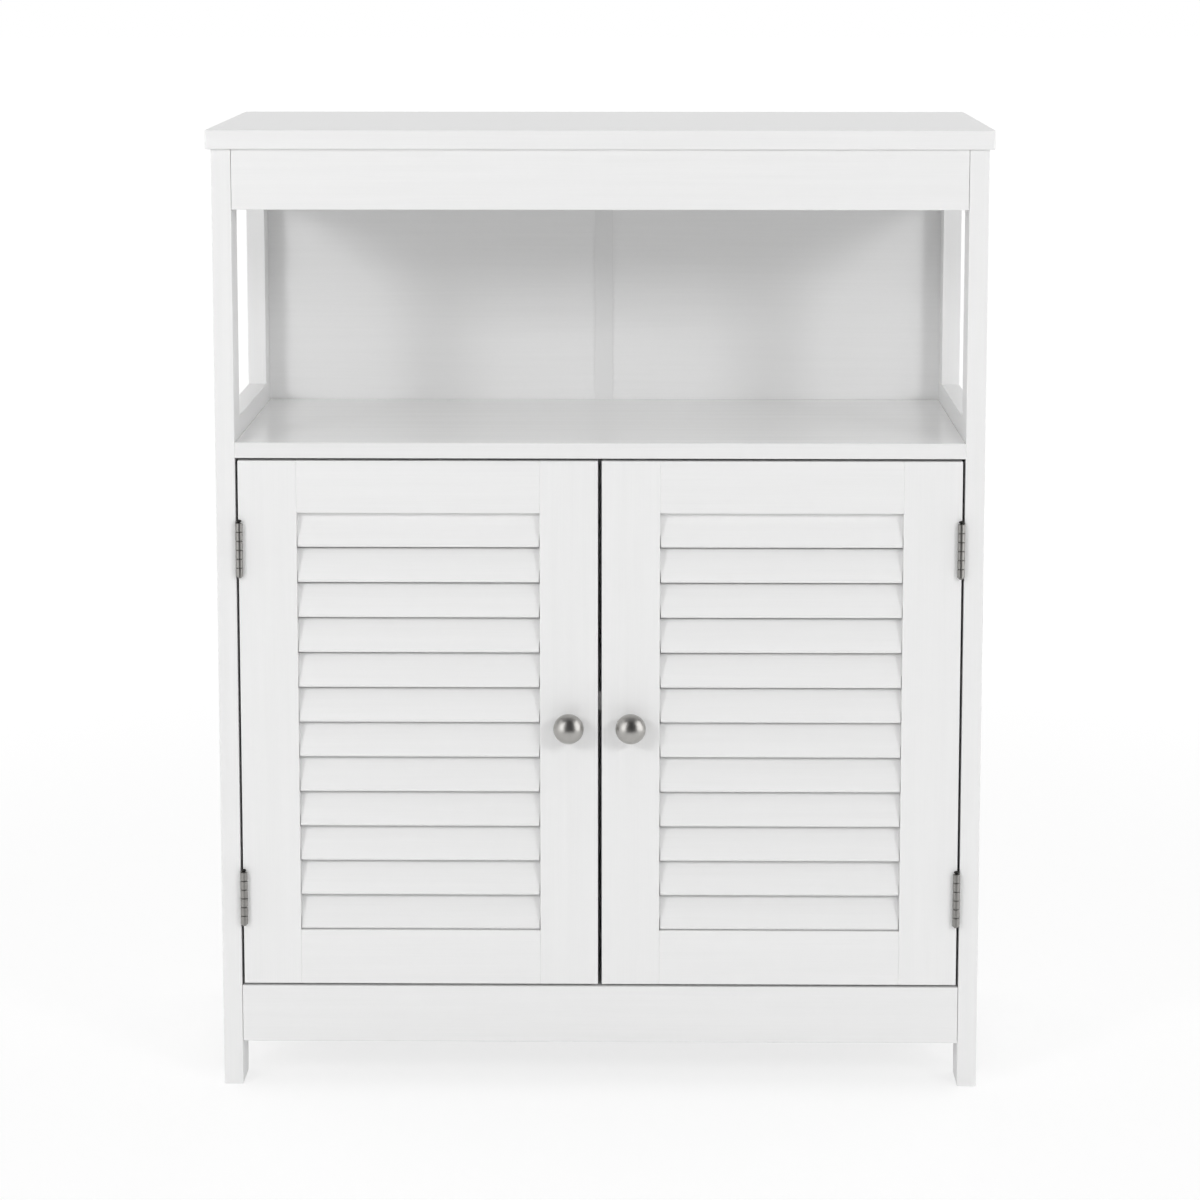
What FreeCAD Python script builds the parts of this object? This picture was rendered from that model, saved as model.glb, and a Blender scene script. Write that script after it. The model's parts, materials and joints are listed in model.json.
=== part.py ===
import FreeCAD, Part
import math
import os

# Louvred door cabinet: an open compartment over a two-door cupboard, on four feet.
# Millimetres. +X is right, +Y is back and +Z is up. The floor is Z = 0.
# Depths are measured back from the front faces of the posts, heights from the floor,
# and "near" and "far" are distances from the middle plane towards one side.

V = FreeCAD.Vector
X_AXIS = V(1, 0, 0)
Y_AXIS = V(0, 1, 0)
Z_AXIS = V(0, 0, 1)
SIDES = {"left": -1, "right": 1}

# ---- Outside ------------------------------------------------------------------
TOP_WIDTH = 600.0
TOP_DEPTH = 300.0
HEIGHT = 750.0
TOP_SIDE_OVERHANG = 4.0
TOP_FRONT_OVERHANG = 5.0

# ---- Boards of the case -------------------------------------------------------
BOARD = 15.0
POST_DEPTH = 40.0
TOP_RAIL_HEIGHT = 46.0
FOOT_HEIGHT = 35.0
BOTTOM_RAIL_HEIGHT = 45.0
RAIL_END_GAP = 0.3
OPEN_SHELF_TOP = 510.0
OPEN_SHELF_THICK = 12.0
SIDE_LIP = 16.0
INNER_SHELF_TOP = 313.0
INNER_SHELF_SETBACK = 16.0
INNER_SHELF_PLAY = 1.0
BOARD_EASE = 0.6
TOP_EASE = 1.5

# ---- Back: two thin panels in grooves, joined by a plastic strip ---------------
PANEL_THICK = 3.0
PANEL_INSET = 8.0
GROOVE_DEPTH = 6.0
GROOVE_PLAY = 0.1
STRIP_WIDTH = 15.0
STRIP_WALL = 1.0

# ---- Doors --------------------------------------------------------------------
DOOR_THICK = 15.0
DOOR_GAP = 2.0
DOOR_CENTRE_GAP = 3.0
STILE_WIDTH = 45.0
DOOR_TOP_RAIL = 40.5
DOOR_BOTTOM_RAIL = 43.0
TENON_LENGTH = 8.0
TENON_THICK = 5.0
TENON_SHOULDER = 6.0
JOINT_PLAY = 0.1
DOOR_EASE = 0.5

# ---- Louvre slats, leaning back at the top -------------------------------------
SLAT_COUNT = 12
SLAT_THICK = 5.0
SLAT_TILT = 18.0
SLAT_SETBACK = 0.7
SLAT_RAIL_GAP = 0.4
SLAT_SLOT_DEPTH = 6.0
SLAT_PLAY = 0.25
SLAT_EASE = 1.0

# ---- Knobs --------------------------------------------------------------------
KNOB_REACH = 24.0
KNOB_RADIUS = 11.75
KNOB_DOME = 9.5
KNOB_BASE_RADIUS = 7.0
KNOB_BASE_THICK = 1.2
KNOB_STEM_RADIUS = 4.4
KNOB_NECK = 4.5
KNOB_SCREW_RADIUS = 2.0
KNOB_SCREW_BITE = 8.0
KNOB_SCREW_HEAD_RADIUS = 4.0
KNOB_SCREW_HEAD = 2.4

# ---- Butt hinges --------------------------------------------------------------
HINGE_INSET = 69.0
BARREL_LENGTH = 42.0
KNUCKLE_COUNT = 6
KNUCKLE_RADIUS = 2.8
KNUCKLE_GAP = 0.15
HINGE_STANDOFF = 0.1
PIN_RADIUS = 1.5
PIN_PLAY = 0.05
FINIAL_RADIUS = 2.0
FINIAL_HEIGHT = 2.6
PIN_TIP = 1.2
LEAF_THICK = 0.9
LEAF_PLAY = 0.2
LEAF_WIDTH = 12.5
HINGE_SCREW_SPACING = 24.0
HINGE_SCREW_RADIUS = 1.3
HINGE_SCREW_HEAD_RADIUS = 2.7
HINGE_SCREW_LENGTH = 11.0

# ---- Fittings -----------------------------------------------------------------
DOWEL_RADIUS = 3.0
DOWEL_SHORT = 10.0
DOWEL_LONG = 18.0
DOWEL_PLAY = 0.05
CAM_RADIUS = 6.0
CAM_SETBACK = 22.0
CAM_COVER = 3.0
CAM_BOLT_RADIUS = 2.5
CAM_BOLT_GRIP = 10.0
CAM_HEAD_LENGTH = 3.0
CAM_SLOT = 1.2
SHELF_PIN_RADIUS = 2.5
SHELF_PIN_GRIP = 8.0
SHELF_PIN_REACH = 7.0
SHELF_PIN_EDGE = 35.0
SHELF_HOLE_STEP = 48.0
CATCH_WIDTH = 34.0
CATCH_DEPTH = 16.0
CATCH_HEIGHT = 12.0
CATCH_GAP = 0.2
MAGNET_WIDTH = 14.0
MAGNET_DEPTH = 6.0
MAGNET_HEIGHT = 8.0
STRIKE_THICK = 1.0
STRIKE_WIDTH = 24.0
STRIKE_HEIGHT = 14.0
SMALL_SCREW_RADIUS = 1.25
SMALL_SCREW_HEAD_RADIUS = 2.5
SMALL_SCREW_BITE = 8.0

# ---- Worked out ---------------------------------------------------------------
OUTER = TOP_WIDTH / 2 - TOP_SIDE_OVERHANG
INNER = OUTER - BOARD
CASE_DEPTH = TOP_DEPTH - TOP_FRONT_OVERHANG
CASE_TOP = HEIGHT - BOARD
FRONT_REACH = max(KNOB_REACH, TOP_FRONT_OVERHANG)
FRONT_Y = -(CASE_DEPTH - FRONT_REACH) / 2
BACK_POST_FRONT = CASE_DEPTH - POST_DEPTH
TOP_RAIL_BOTTOM = CASE_TOP - TOP_RAIL_HEIGHT
BOTTOM_TOP = FOOT_HEIGHT + BOTTOM_RAIL_HEIGHT
BOTTOM_UNDER = BOTTOM_TOP - BOARD
OPEN_SHELF_UNDER = OPEN_SHELF_TOP - OPEN_SHELF_THICK
SIDE_PANEL_TOP = OPEN_SHELF_TOP + SIDE_LIP
PANEL_BACK = CASE_DEPTH - PANEL_INSET
PANEL_FRONT = PANEL_BACK - PANEL_THICK
SHELF_REAR = PANEL_FRONT - STRIP_WALL
INNER_SHELF_UNDER = INNER_SHELF_TOP - BOARD

HINGE_GAP = 2 * LEAF_THICK + LEAF_PLAY
DOOR_FAR = INNER - HINGE_GAP
DOOR_NEAR = DOOR_CENTRE_GAP / 2
DOOR_BOTTOM = BOTTOM_TOP + DOOR_GAP
DOOR_TOP = OPEN_SHELF_UNDER - DOOR_GAP
LOUVRE_BOTTOM = DOOR_BOTTOM + DOOR_BOTTOM_RAIL
LOUVRE_TOP = DOOR_TOP - DOOR_TOP_RAIL
LATCH_STILE_FAR = DOOR_NEAR + STILE_WIDTH
HINGE_STILE_NEAR = DOOR_FAR - STILE_WIDTH
KNOB_NEAR = DOOR_NEAR + STILE_WIDTH / 2
KNOB_Z = (DOOR_BOTTOM + DOOR_TOP) / 2

TILT = math.radians(SLAT_TILT)
SLAT_REACH = DOOR_THICK - 2 * SLAT_SETBACK
SLAT_WIDTH = (SLAT_REACH - SLAT_THICK * math.cos(TILT)) / math.sin(TILT)
SLAT_RISE = SLAT_WIDTH * math.cos(TILT) + SLAT_THICK * math.sin(TILT)
FIRST_SLAT_Z = LOUVRE_BOTTOM + SLAT_RAIL_GAP + SLAT_RISE / 2
LAST_SLAT_Z = LOUVRE_TOP - SLAT_RAIL_GAP - SLAT_RISE / 2
SLAT_PITCH = (LAST_SLAT_Z - FIRST_SLAT_Z) / (SLAT_COUNT - 1)

HINGE_FAR = INNER - KNUCKLE_RADIUS
HINGE_DEPTH = -(KNUCKLE_RADIUS + HINGE_STANDOFF)
LEAF_FRONT = HINGE_STANDOFF
LEAF_BACK = LEAF_FRONT + LEAF_WIDTH
HINGE_HEIGHTS = {"upper": DOOR_TOP - HINGE_INSET, "lower": DOOR_BOTTOM + HINGE_INSET}
KNUCKLE_PITCH = BARREL_LENGTH / KNUCKLE_COUNT

CATCH_NEAR = DOOR_NEAR + STILE_WIDTH / 2 - CATCH_WIDTH / 2
CATCH_MIDDLE = CATCH_NEAR + CATCH_WIDTH / 2
MAGNET_FACE = DOOR_THICK + STRIKE_THICK + CATCH_GAP

# ---- Collected pieces ---------------------------------------------------------
solids = {}
bores = {}
groups = {}


def at(x, depth, z):
    """The point at a distance right of middle, a depth behind the posts' faces and a height."""
    return V(x, FRONT_Y + depth, z)


def block(x0, x1, d0, d1, z0, z1, ease=0.0):
    """A board between two X places, two depths and two heights, with its edges eased."""
    solid = Part.makeBox(abs(x1 - x0), d1 - d0, z1 - z0, at(min(x0, x1), d0, z0))
    if ease > 0:
        solid = solid.makeFillet(ease, solid.Edges)
    return solid


def slab(side, near, far, d0, d1, z0, z1, ease=0.0):
    """A board on one side, between two distances from the middle plane."""
    return block(side * near, side * far, d0, d1, z0, z1, ease)


def brick(centre, half):
    """A box about a centre with the given half sizes along X, Y and Z."""
    return Part.makeBox(2 * half.x, 2 * half.y, 2 * half.z, centre - half)


def rod(radius, length, start, direction):
    """A round bar or bore from a start point along a direction."""
    return Part.makeCylinder(radius, length, start, direction)


def bore(node, *tools):
    """Note holes that are cut from a node once all its neighbours are placed."""
    bores.setdefault(node, []).extend(tools)


def group(node, *members):
    """Add separate solids to a node that holds several of the same fitting."""
    groups.setdefault(node, []).extend(members)


# ---- Fittings -----------------------------------------------------------------
def dowel(board, mate, start, run, in_mate, in_board):
    """A wooden dowel across a joint; run points from the mate into the board."""
    pin = rod(DOWEL_RADIUS, in_mate + in_board, start - run * in_mate, run)
    ends = 4 * DOWEL_PLAY
    bore(mate, rod(DOWEL_RADIUS + DOWEL_PLAY, in_mate + ends, start, run * -1))
    bore(board, rod(DOWEL_RADIUS + DOWEL_PLAY, in_board + ends, start, run))
    group("dowels", pin)


def cam_joint(board, mate, start, run, face, face_distance):
    """A cam disc in a board pulls on the head of a bolt that is screwed into the mate.

    run points from the mate into the board, face points out of the surface that
    the disc is let into, and face_distance is how far that surface is from the bolt.
    """
    centre = start + run * CAM_SETBACK
    disc_height = face_distance + CAM_COVER
    mouth = centre + face * face_distance
    across = run.cross(face)
    pocket = rod(CAM_RADIUS + DOWEL_PLAY, disc_height, mouth, face * -1)
    passage = rod(CAM_BOLT_RADIUS + JOINT_PLAY, CAM_SETBACK, start, run)
    bore(board, pocket, passage)
    bore(mate, rod(CAM_BOLT_RADIUS, CAM_BOLT_GRIP, start, run * -1))

    shank_end = CAM_SETBACK - CAM_HEAD_LENGTH / 2
    thread = rod(CAM_BOLT_RADIUS, CAM_BOLT_GRIP, start, run * -1)
    shank = rod(CAM_BOLT_RADIUS * 0.75, shank_end, start, run)
    head = rod(CAM_BOLT_RADIUS, CAM_HEAD_LENGTH, start + run * shank_end, run)
    group("cam_bolts", thread.fuse([shank, head]))

    disc = rod(CAM_RADIUS, disc_height, mouth, face * -1)
    throat_length = CAM_RADIUS + CAM_HEAD_LENGTH
    throat = rod(CAM_BOLT_RADIUS + JOINT_PLAY, throat_length, centre - run * CAM_RADIUS, run)
    slot = brick(mouth, along(run, CAM_RADIUS * 0.6) + along(across, CAM_SLOT / 2) + along(face, CAM_SLOT))
    group("cam_discs", disc.cut([throat, slot]))


def along(direction, size):
    """A half size laid along one axis, whichever way the direction points."""
    return V(abs(direction.x), abs(direction.y), abs(direction.z)) * size


def countersunk_screw(start, run, radius, head_radius, length):
    """A screw whose cone head is flush at the start point; run is the way it is driven."""
    cone_height = head_radius - radius
    cone = Part.makeCone(head_radius, radius, cone_height, start, run)
    return cone.fuse(rod(radius, length, start, run))


# ---- Case ---------------------------------------------------------------------
def make_top_board():
    half = TOP_WIDTH / 2
    board = block(-half, half, -TOP_FRONT_OVERHANG, CASE_DEPTH, CASE_TOP, HEIGHT, TOP_EASE)
    solids["top_board"] = board
    groove_half = INNER + GROOVE_DEPTH
    bore("top_board", back_groove(-groove_half, groove_half, CASE_TOP, CASE_TOP + GROOVE_DEPTH))


def back_groove(x0, x1, z0, z1):
    """The space that the edge of a back panel slides into."""
    return block(x0, x1, PANEL_FRONT - GROOVE_PLAY, PANEL_BACK + GROOVE_PLAY, z0, z1)


def make_side(name, side):
    """Front and back post, side panel and top side rail of one side frame."""
    front_post = name + "_front_post"
    back_post = name + "_back_post"
    panel = name + "_side_panel"
    rail = name + "_side_rail"
    solids[front_post] = slab(side, INNER, OUTER, 0, POST_DEPTH, 0, CASE_TOP, BOARD_EASE)
    solids[back_post] = slab(side, INNER, OUTER, BACK_POST_FRONT, CASE_DEPTH, 0, CASE_TOP, BOARD_EASE)
    solids[panel] = slab(side, INNER, OUTER, POST_DEPTH, BACK_POST_FRONT,
                         FOOT_HEIGHT, SIDE_PANEL_TOP, BOARD_EASE)
    solids[rail] = slab(side, INNER, OUTER, POST_DEPTH, BACK_POST_FRONT,
                        TOP_RAIL_BOTTOM, CASE_TOP, BOARD_EASE)
    bore(back_post, back_groove(side * INNER, side * (INNER + GROOVE_DEPTH),
                                BOTTOM_TOP - GROOVE_DEPTH, CASE_TOP))

    middle = side * (INNER + OUTER) / 2
    panel_height = SIDE_PANEL_TOP - FOOT_HEIGHT
    panel_heights = [FOOT_HEIGHT + panel_height * share for share in (0.14, 0.5, 0.86)]
    rail_heights = [TOP_RAIL_BOTTOM + TOP_RAIL_HEIGHT * share for share in (0.25, 0.75)]
    for board, heights in ((panel, panel_heights), (rail, rail_heights)):
        for z in heights:
            dowel(board, front_post, at(middle, POST_DEPTH, z), Y_AXIS, DOWEL_SHORT, DOWEL_LONG)
            dowel(board, back_post, at(middle, BACK_POST_FRONT, z), Y_AXIS * -1,
                  DOWEL_SHORT, DOWEL_LONG)
    rail_length = BACK_POST_FRONT - POST_DEPTH
    for share in (0.25, 0.75):
        start = at(middle, POST_DEPTH + rail_length * share, CASE_TOP)
        cam_joint(rail, "top_board", start, Z_AXIS * -1, X_AXIS * -side, BOARD / 2)


def make_front_rails():
    """The rails across the front, above the open compartment and below the doors."""
    rails = {"top_front_rail": (TOP_RAIL_BOTTOM, CASE_TOP),
             "bottom_front_rail": (FOOT_HEIGHT, BOTTOM_TOP)}
    end = INNER - RAIL_END_GAP
    for rail, (low, high) in rails.items():
        solids[rail] = block(-end, end, 0, BOARD, low, high, BOARD_EASE)
        for name, side in SIDES.items():
            post = name + "_front_post"
            inward = X_AXIS * -side
            cam_joint(rail, post, at(side * INNER, BOARD / 2, (low + high) / 2), inward,
                      Y_AXIS, BOARD / 2)
            for share in (0.2, 0.8):
                z = low + (high - low) * share
                dowel(rail, post, at(side * INNER, BOARD / 2, z), inward, DOWEL_SHORT, DOWEL_LONG)
    for side in SIDES.values():
        start = at(side * INNER / 2, BOARD / 2, CASE_TOP)
        cam_joint("top_front_rail", "top_board", start, Z_AXIS * -1, Y_AXIS, BOARD / 2)


def make_fixed_boards():
    """The open shelf over the doors and the bottom board of the cupboard."""
    solids["open_shelf"] = block(-INNER, INNER, 0, SHELF_REAR, OPEN_SHELF_UNDER, OPEN_SHELF_TOP,
                                 BOARD_EASE)
    solids["bottom_board"] = block(-INNER, INNER, BOARD, CASE_DEPTH, BOTTOM_UNDER, BOTTOM_TOP,
                                   BOARD_EASE)
    bore("bottom_board", back_groove(-INNER, INNER, BOTTOM_TOP - GROOVE_DEPTH, BOTTOM_TOP))
    fixed = {"open_shelf": ((OPEN_SHELF_UNDER + OPEN_SHELF_TOP) / 2, OPEN_SHELF_THICK / 2),
             "bottom_board": ((BOTTOM_UNDER + BOTTOM_TOP) / 2, BOARD / 2)}
    front_depth = (BOARD + POST_DEPTH) / 2
    back_depth = (BACK_POST_FRONT + PANEL_FRONT) / 2
    span = BACK_POST_FRONT - POST_DEPTH
    for board, (z, to_face) in fixed.items():
        for name, side in SIDES.items():
            inward = X_AXIS * -side
            for end, depth in (("front", front_depth), ("back", back_depth)):
                cam_joint(board, name + "_" + end + "_post", at(side * INNER, depth, z), inward,
                          Z_AXIS * -1, to_face)
            for share in (0.3, 0.7):
                start = at(side * INNER, POST_DEPTH + span * share, z)
                dowel(board, name + "_side_panel", start, inward, DOWEL_SHORT, DOWEL_LONG)


def make_back():
    """Two thin back panels and the H-shaped strip that joins them."""
    panel_low = BOTTOM_TOP - GROOVE_DEPTH + GROOVE_PLAY
    panel_high = CASE_TOP + GROOVE_DEPTH - GROOVE_PLAY
    far = INNER + GROOVE_DEPTH - GROOVE_PLAY
    near = STRIP_WALL / 2 + GROOVE_PLAY
    for name, side in SIDES.items():
        solids[name + "_back_panel"] = slab(side, near, far, PANEL_FRONT, PANEL_BACK,
                                            panel_low, panel_high)
    half = STRIP_WIDTH / 2
    front = block(-half, half, PANEL_FRONT - STRIP_WALL, PANEL_FRONT, BOTTOM_TOP, CASE_TOP)
    rear = block(-half, half, PANEL_BACK, PANEL_BACK + STRIP_WALL, BOTTOM_TOP, CASE_TOP)
    web = block(-STRIP_WALL / 2, STRIP_WALL / 2, PANEL_FRONT, PANEL_BACK, BOTTOM_TOP, CASE_TOP)
    solids["back_joint_strip"] = front.fuse([rear, web]).removeSplitter()


def make_inner_shelf():
    """The adjustable shelf on four pins, and the rows of holes for other heights."""
    far = INNER - INNER_SHELF_PLAY
    solids["inner_shelf"] = block(-far, far, INNER_SHELF_SETBACK, SHELF_REAR - INNER_SHELF_PLAY,
                                  INNER_SHELF_UNDER, INNER_SHELF_TOP, BOARD_EASE)
    pin_z = INNER_SHELF_UNDER - SHELF_PIN_RADIUS
    pin_depths = (POST_DEPTH + SHELF_PIN_EDGE, BACK_POST_FRONT - SHELF_PIN_EDGE)
    for name, side in SIDES.items():
        outward = X_AXIS * side
        for depth in pin_depths:
            start = at(side * (INNER - SHELF_PIN_REACH), depth, pin_z)
            group("shelf_pins", rod(SHELF_PIN_RADIUS, SHELF_PIN_REACH + SHELF_PIN_GRIP, start, outward))
            for row in (-1, 0, 1):
                mouth = at(side * INNER, depth, pin_z + row * SHELF_HOLE_STEP)
                bore(name + "_side_panel",
                     rod(SHELF_PIN_RADIUS + DOWEL_PLAY, SHELF_PIN_GRIP + JOINT_PLAY, mouth, outward))


def make_catches():
    """A magnetic catch behind the latch edge of each door, under the open shelf."""
    low = OPEN_SHELF_UNDER - CATCH_HEIGHT
    middle_z = OPEN_SHELF_UNDER - CATCH_HEIGHT / 2
    for side in SIDES.values():
        housing = slab(side, CATCH_NEAR, CATCH_NEAR + CATCH_WIDTH, MAGNET_FACE,
                       MAGNET_FACE + CATCH_DEPTH, low, OPEN_SHELF_UNDER)
        middle = side * CATCH_MIDDLE
        half = MAGNET_WIDTH / 2
        magnet = block(middle - half, middle + half, MAGNET_FACE, MAGNET_FACE + MAGNET_DEPTH,
                       middle_z - MAGNET_HEIGHT / 2, middle_z + MAGNET_HEIGHT / 2)
        screws = []
        screw_offset = (MAGNET_WIDTH + CATCH_WIDTH) / 4
        for step in (-screw_offset, screw_offset):
            start = at(middle + step, MAGNET_FACE + CATCH_DEPTH / 2, low)
            screws.append(countersunk_screw(start, Z_AXIS, SMALL_SCREW_RADIUS,
                                            SMALL_SCREW_HEAD_RADIUS, CATCH_HEIGHT + SMALL_SCREW_BITE))
        group("catch_housings", housing.cut([magnet] + screws))
        group("catch_magnets", magnet)
        group("catch_screws", *screws)
        bore("open_shelf", *screws)


# ---- Doors --------------------------------------------------------------------
def slat_solid(near, far, side, z, grow, ease):
    """A leaning slat, or with grow its slot, between two distances from the middle."""
    thick = SLAT_THICK + 2 * grow
    width = SLAT_WIDTH + 2 * grow
    solid = Part.makeBox(far - near, thick, width, V(-(far - near) / 2, -thick / 2, -width / 2))
    if ease > 0:
        long_edges = [edge for edge in solid.Edges if abs(edge.tangentAt(0).x) > 0.5]
        solid = solid.makeFillet(ease, long_edges)
    solid.rotate(V(0, 0, 0), X_AXIS, -SLAT_TILT)
    solid.translate(at(side * (near + far) / 2, DOOR_THICK / 2, z))
    return solid


def rail_tenons(side, low, high, play):
    """The tongues at both ends of a door rail, or with play the mortises for them."""
    near = LATCH_STILE_FAR - TENON_LENGTH - play
    far = HINGE_STILE_NEAR + TENON_LENGTH + play
    front = (DOOR_THICK - TENON_THICK) / 2 - play
    back = (DOOR_THICK + TENON_THICK) / 2 + play
    return slab(side, near, far, front, back,
                low + TENON_SHOULDER - play, high - TENON_SHOULDER + play)


def make_door(name, side):
    """Stiles, rails and slats of one door."""
    prefix = name + "_door_"
    stiles = {prefix + "latch_stile": (DOOR_NEAR, LATCH_STILE_FAR),
              prefix + "hinge_stile": (HINGE_STILE_NEAR, DOOR_FAR)}
    for stile, (near, far) in stiles.items():
        solids[stile] = slab(side, near, far, 0, DOOR_THICK, DOOR_BOTTOM, DOOR_TOP, DOOR_EASE)
    rails = {prefix + "bottom_rail": (DOOR_BOTTOM, LOUVRE_BOTTOM),
             prefix + "top_rail": (LOUVRE_TOP, DOOR_TOP)}
    for rail, (low, high) in rails.items():
        body = slab(side, LATCH_STILE_FAR, HINGE_STILE_NEAR, 0, DOOR_THICK, low, high, DOOR_EASE)
        solids[rail] = body.fuse(rail_tenons(side, low, high, 0))
        for stile in stiles:
            bore(stile, rail_tenons(side, low, high, JOINT_PLAY))

    slot_near = LATCH_STILE_FAR - SLAT_SLOT_DEPTH
    slot_far = HINGE_STILE_NEAR + SLAT_SLOT_DEPTH
    for number in range(SLAT_COUNT):
        z = FIRST_SLAT_Z + number * SLAT_PITCH
        slat = slat_solid(slot_near + SLAT_PLAY, slot_far - SLAT_PLAY, side, z, 0, SLAT_EASE)
        group(prefix + "slats", slat)
        slot = slat_solid(slot_near, slot_far, side, z, SLAT_PLAY, 0)
        for stile in stiles:
            bore(stile, slot)


def knob_solid():
    """A turned knob standing on Z = 0: base disc, neck and oval head."""
    equator = KNOB_REACH - KNOB_DOME
    head_back = KNOB_BASE_THICK + KNOB_NECK
    base_end = V(KNOB_BASE_RADIUS, 0, KNOB_BASE_THICK)
    neck_end = V(KNOB_STEM_RADIUS, 0, head_back)
    neck_mid = V(KNOB_STEM_RADIUS + (KNOB_BASE_RADIUS - KNOB_STEM_RADIUS) * 0.12, 0,
                 KNOB_BASE_THICK + KNOB_NECK * 0.5)
    rim = V(KNOB_RADIUS, 0, equator)
    diagonal = math.sqrt(0.5)
    shoulder = V(KNOB_STEM_RADIUS + (KNOB_RADIUS - KNOB_STEM_RADIUS) * diagonal, 0,
                 head_back + (equator - head_back) * (1 - diagonal))
    tip = V(0, 0, KNOB_REACH)
    dome = V(KNOB_RADIUS * diagonal, 0, equator + KNOB_DOME * diagonal)
    face = Part.BSplineCurve()
    face.interpolate(Points=[rim, dome, tip], InitialTangent=V(0, 0, KNOB_DOME * 1.5),
                     FinalTangent=V(-KNOB_RADIUS * 1.5, 0, 0))
    outline = Part.Wire([
        Part.makeLine(V(0, 0, 0), V(KNOB_BASE_RADIUS, 0, 0)),
        Part.makeLine(V(KNOB_BASE_RADIUS, 0, 0), base_end),
        Part.Arc(base_end, neck_mid, neck_end).toShape(),
        Part.Arc(neck_end, shoulder, rim).toShape(),
        face.toShape(),
        Part.makeLine(tip, V(0, 0, 0)),
    ])
    return Part.Face(outline).revolve(V(0, 0, 0), Z_AXIS, 360)


def make_knob(name, side):
    """A knob in the middle of the latch stile and the screw that holds it from behind."""
    place = at(side * KNOB_NEAR, 0, KNOB_Z)
    thread = rod(KNOB_SCREW_RADIUS + PIN_PLAY, KNOB_SCREW_BITE + JOINT_PLAY, place, Y_AXIS * -1)
    knob = knob_solid()
    knob.rotate(V(0, 0, 0), X_AXIS, 90)
    knob.translate(place)
    solids[name + "_knob"] = knob.cut(thread)

    back = place + Y_AXIS * DOOR_THICK
    shank = rod(KNOB_SCREW_RADIUS, DOOR_THICK + KNOB_SCREW_BITE, back, Y_AXIS * -1)
    head = rod(KNOB_SCREW_HEAD_RADIUS, KNOB_SCREW_HEAD, back, Y_AXIS)
    slot = brick(back + Y_AXIS * KNOB_SCREW_HEAD, V(KNOB_SCREW_HEAD_RADIUS, CAM_SLOT / 2, CAM_SLOT / 2))
    solids[name + "_knob_screw"] = head.cut(slot).fuse(shank)
    bore(name + "_door_latch_stile",
         rod(KNOB_SCREW_RADIUS + JOINT_PLAY, DOOR_THICK, place, Y_AXIS))


def make_strike(name, side):
    """The steel plate on the back of a door that the catch's magnet holds."""
    z = OPEN_SHELF_UNDER - CATCH_HEIGHT / 2
    middle = side * CATCH_MIDDLE
    half = STRIKE_WIDTH / 2
    top = min(z + STRIKE_HEIGHT / 2, DOOR_TOP)
    plate = block(middle - half, middle + half, DOOR_THICK, DOOR_THICK + STRIKE_THICK,
                  top - STRIKE_HEIGHT, top)
    reach = STRIKE_THICK + SMALL_SCREW_BITE
    offset = (half + MAGNET_WIDTH / 2) / 2
    screws = [countersunk_screw(at(middle + step, DOOR_THICK + STRIKE_THICK, top - STRIKE_HEIGHT / 2),
                                Y_AXIS * -1, SMALL_SCREW_RADIUS, SMALL_SCREW_HEAD_RADIUS * 0.8, reach)
              for step in (-offset, offset)]
    solids[name + "_door_strike_plate"] = plate.cut(screws)
    group(name + "_door_strike_screws", *screws)
    bore(name + "_door_latch_stile", *screws)


# ---- Hinges -------------------------------------------------------------------
def hinge_leaf(side, z, near, far, knuckles):
    """One leaf in the gap beside a door, rolled into every other knuckle of the barrel.

    near and far are the leaf's faces as distances from the middle plane.
    """
    low = z - BARREL_LENGTH / 2
    parts = [slab(side, near, far, LEAF_FRONT, LEAF_BACK, low, low + BARREL_LENGTH)]
    for number in knuckles:
        base = low + number * KNUCKLE_PITCH + KNUCKLE_GAP / 2
        height = KNUCKLE_PITCH - KNUCKLE_GAP
        parts.append(rod(KNUCKLE_RADIUS, height, at(side * HINGE_FAR, HINGE_DEPTH, base), Z_AXIS))
        parts.append(slab(side, near, far, HINGE_DEPTH, LEAF_FRONT, base, base + height))
    pin_hole = rod(PIN_RADIUS + PIN_PLAY, BARREL_LENGTH, at(side * HINGE_FAR, HINGE_DEPTH, low), Z_AXIS)
    return parts[0].fuse(parts[1:]).cut(pin_hole).removeSplitter()


def hinge_pin(side, z):
    """The pin through a barrel, with a domed finial on top and a small tip below."""
    low = z - BARREL_LENGTH / 2
    high = z + BARREL_LENGTH / 2
    foot = at(side * HINGE_FAR, HINGE_DEPTH, low - PIN_TIP)
    crown = at(side * HINGE_FAR, HINGE_DEPTH, high)
    shank = rod(PIN_RADIUS, BARREL_LENGTH, at(side * HINGE_FAR, HINGE_DEPTH, low), Z_AXIS)
    tip = Part.makeCone(PIN_RADIUS, FINIAL_RADIUS, PIN_TIP, foot, Z_AXIS)
    finial = rod(FINIAL_RADIUS, FINIAL_HEIGHT, crown, Z_AXIS)
    rim = [edge for edge in finial.Edges if edge.BoundBox.ZMin > crown.z + FINIAL_HEIGHT * 0.9]
    finial = finial.makeFillet(FINIAL_RADIUS * 0.8, rim)
    return shank.fuse([tip, finial])


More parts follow.
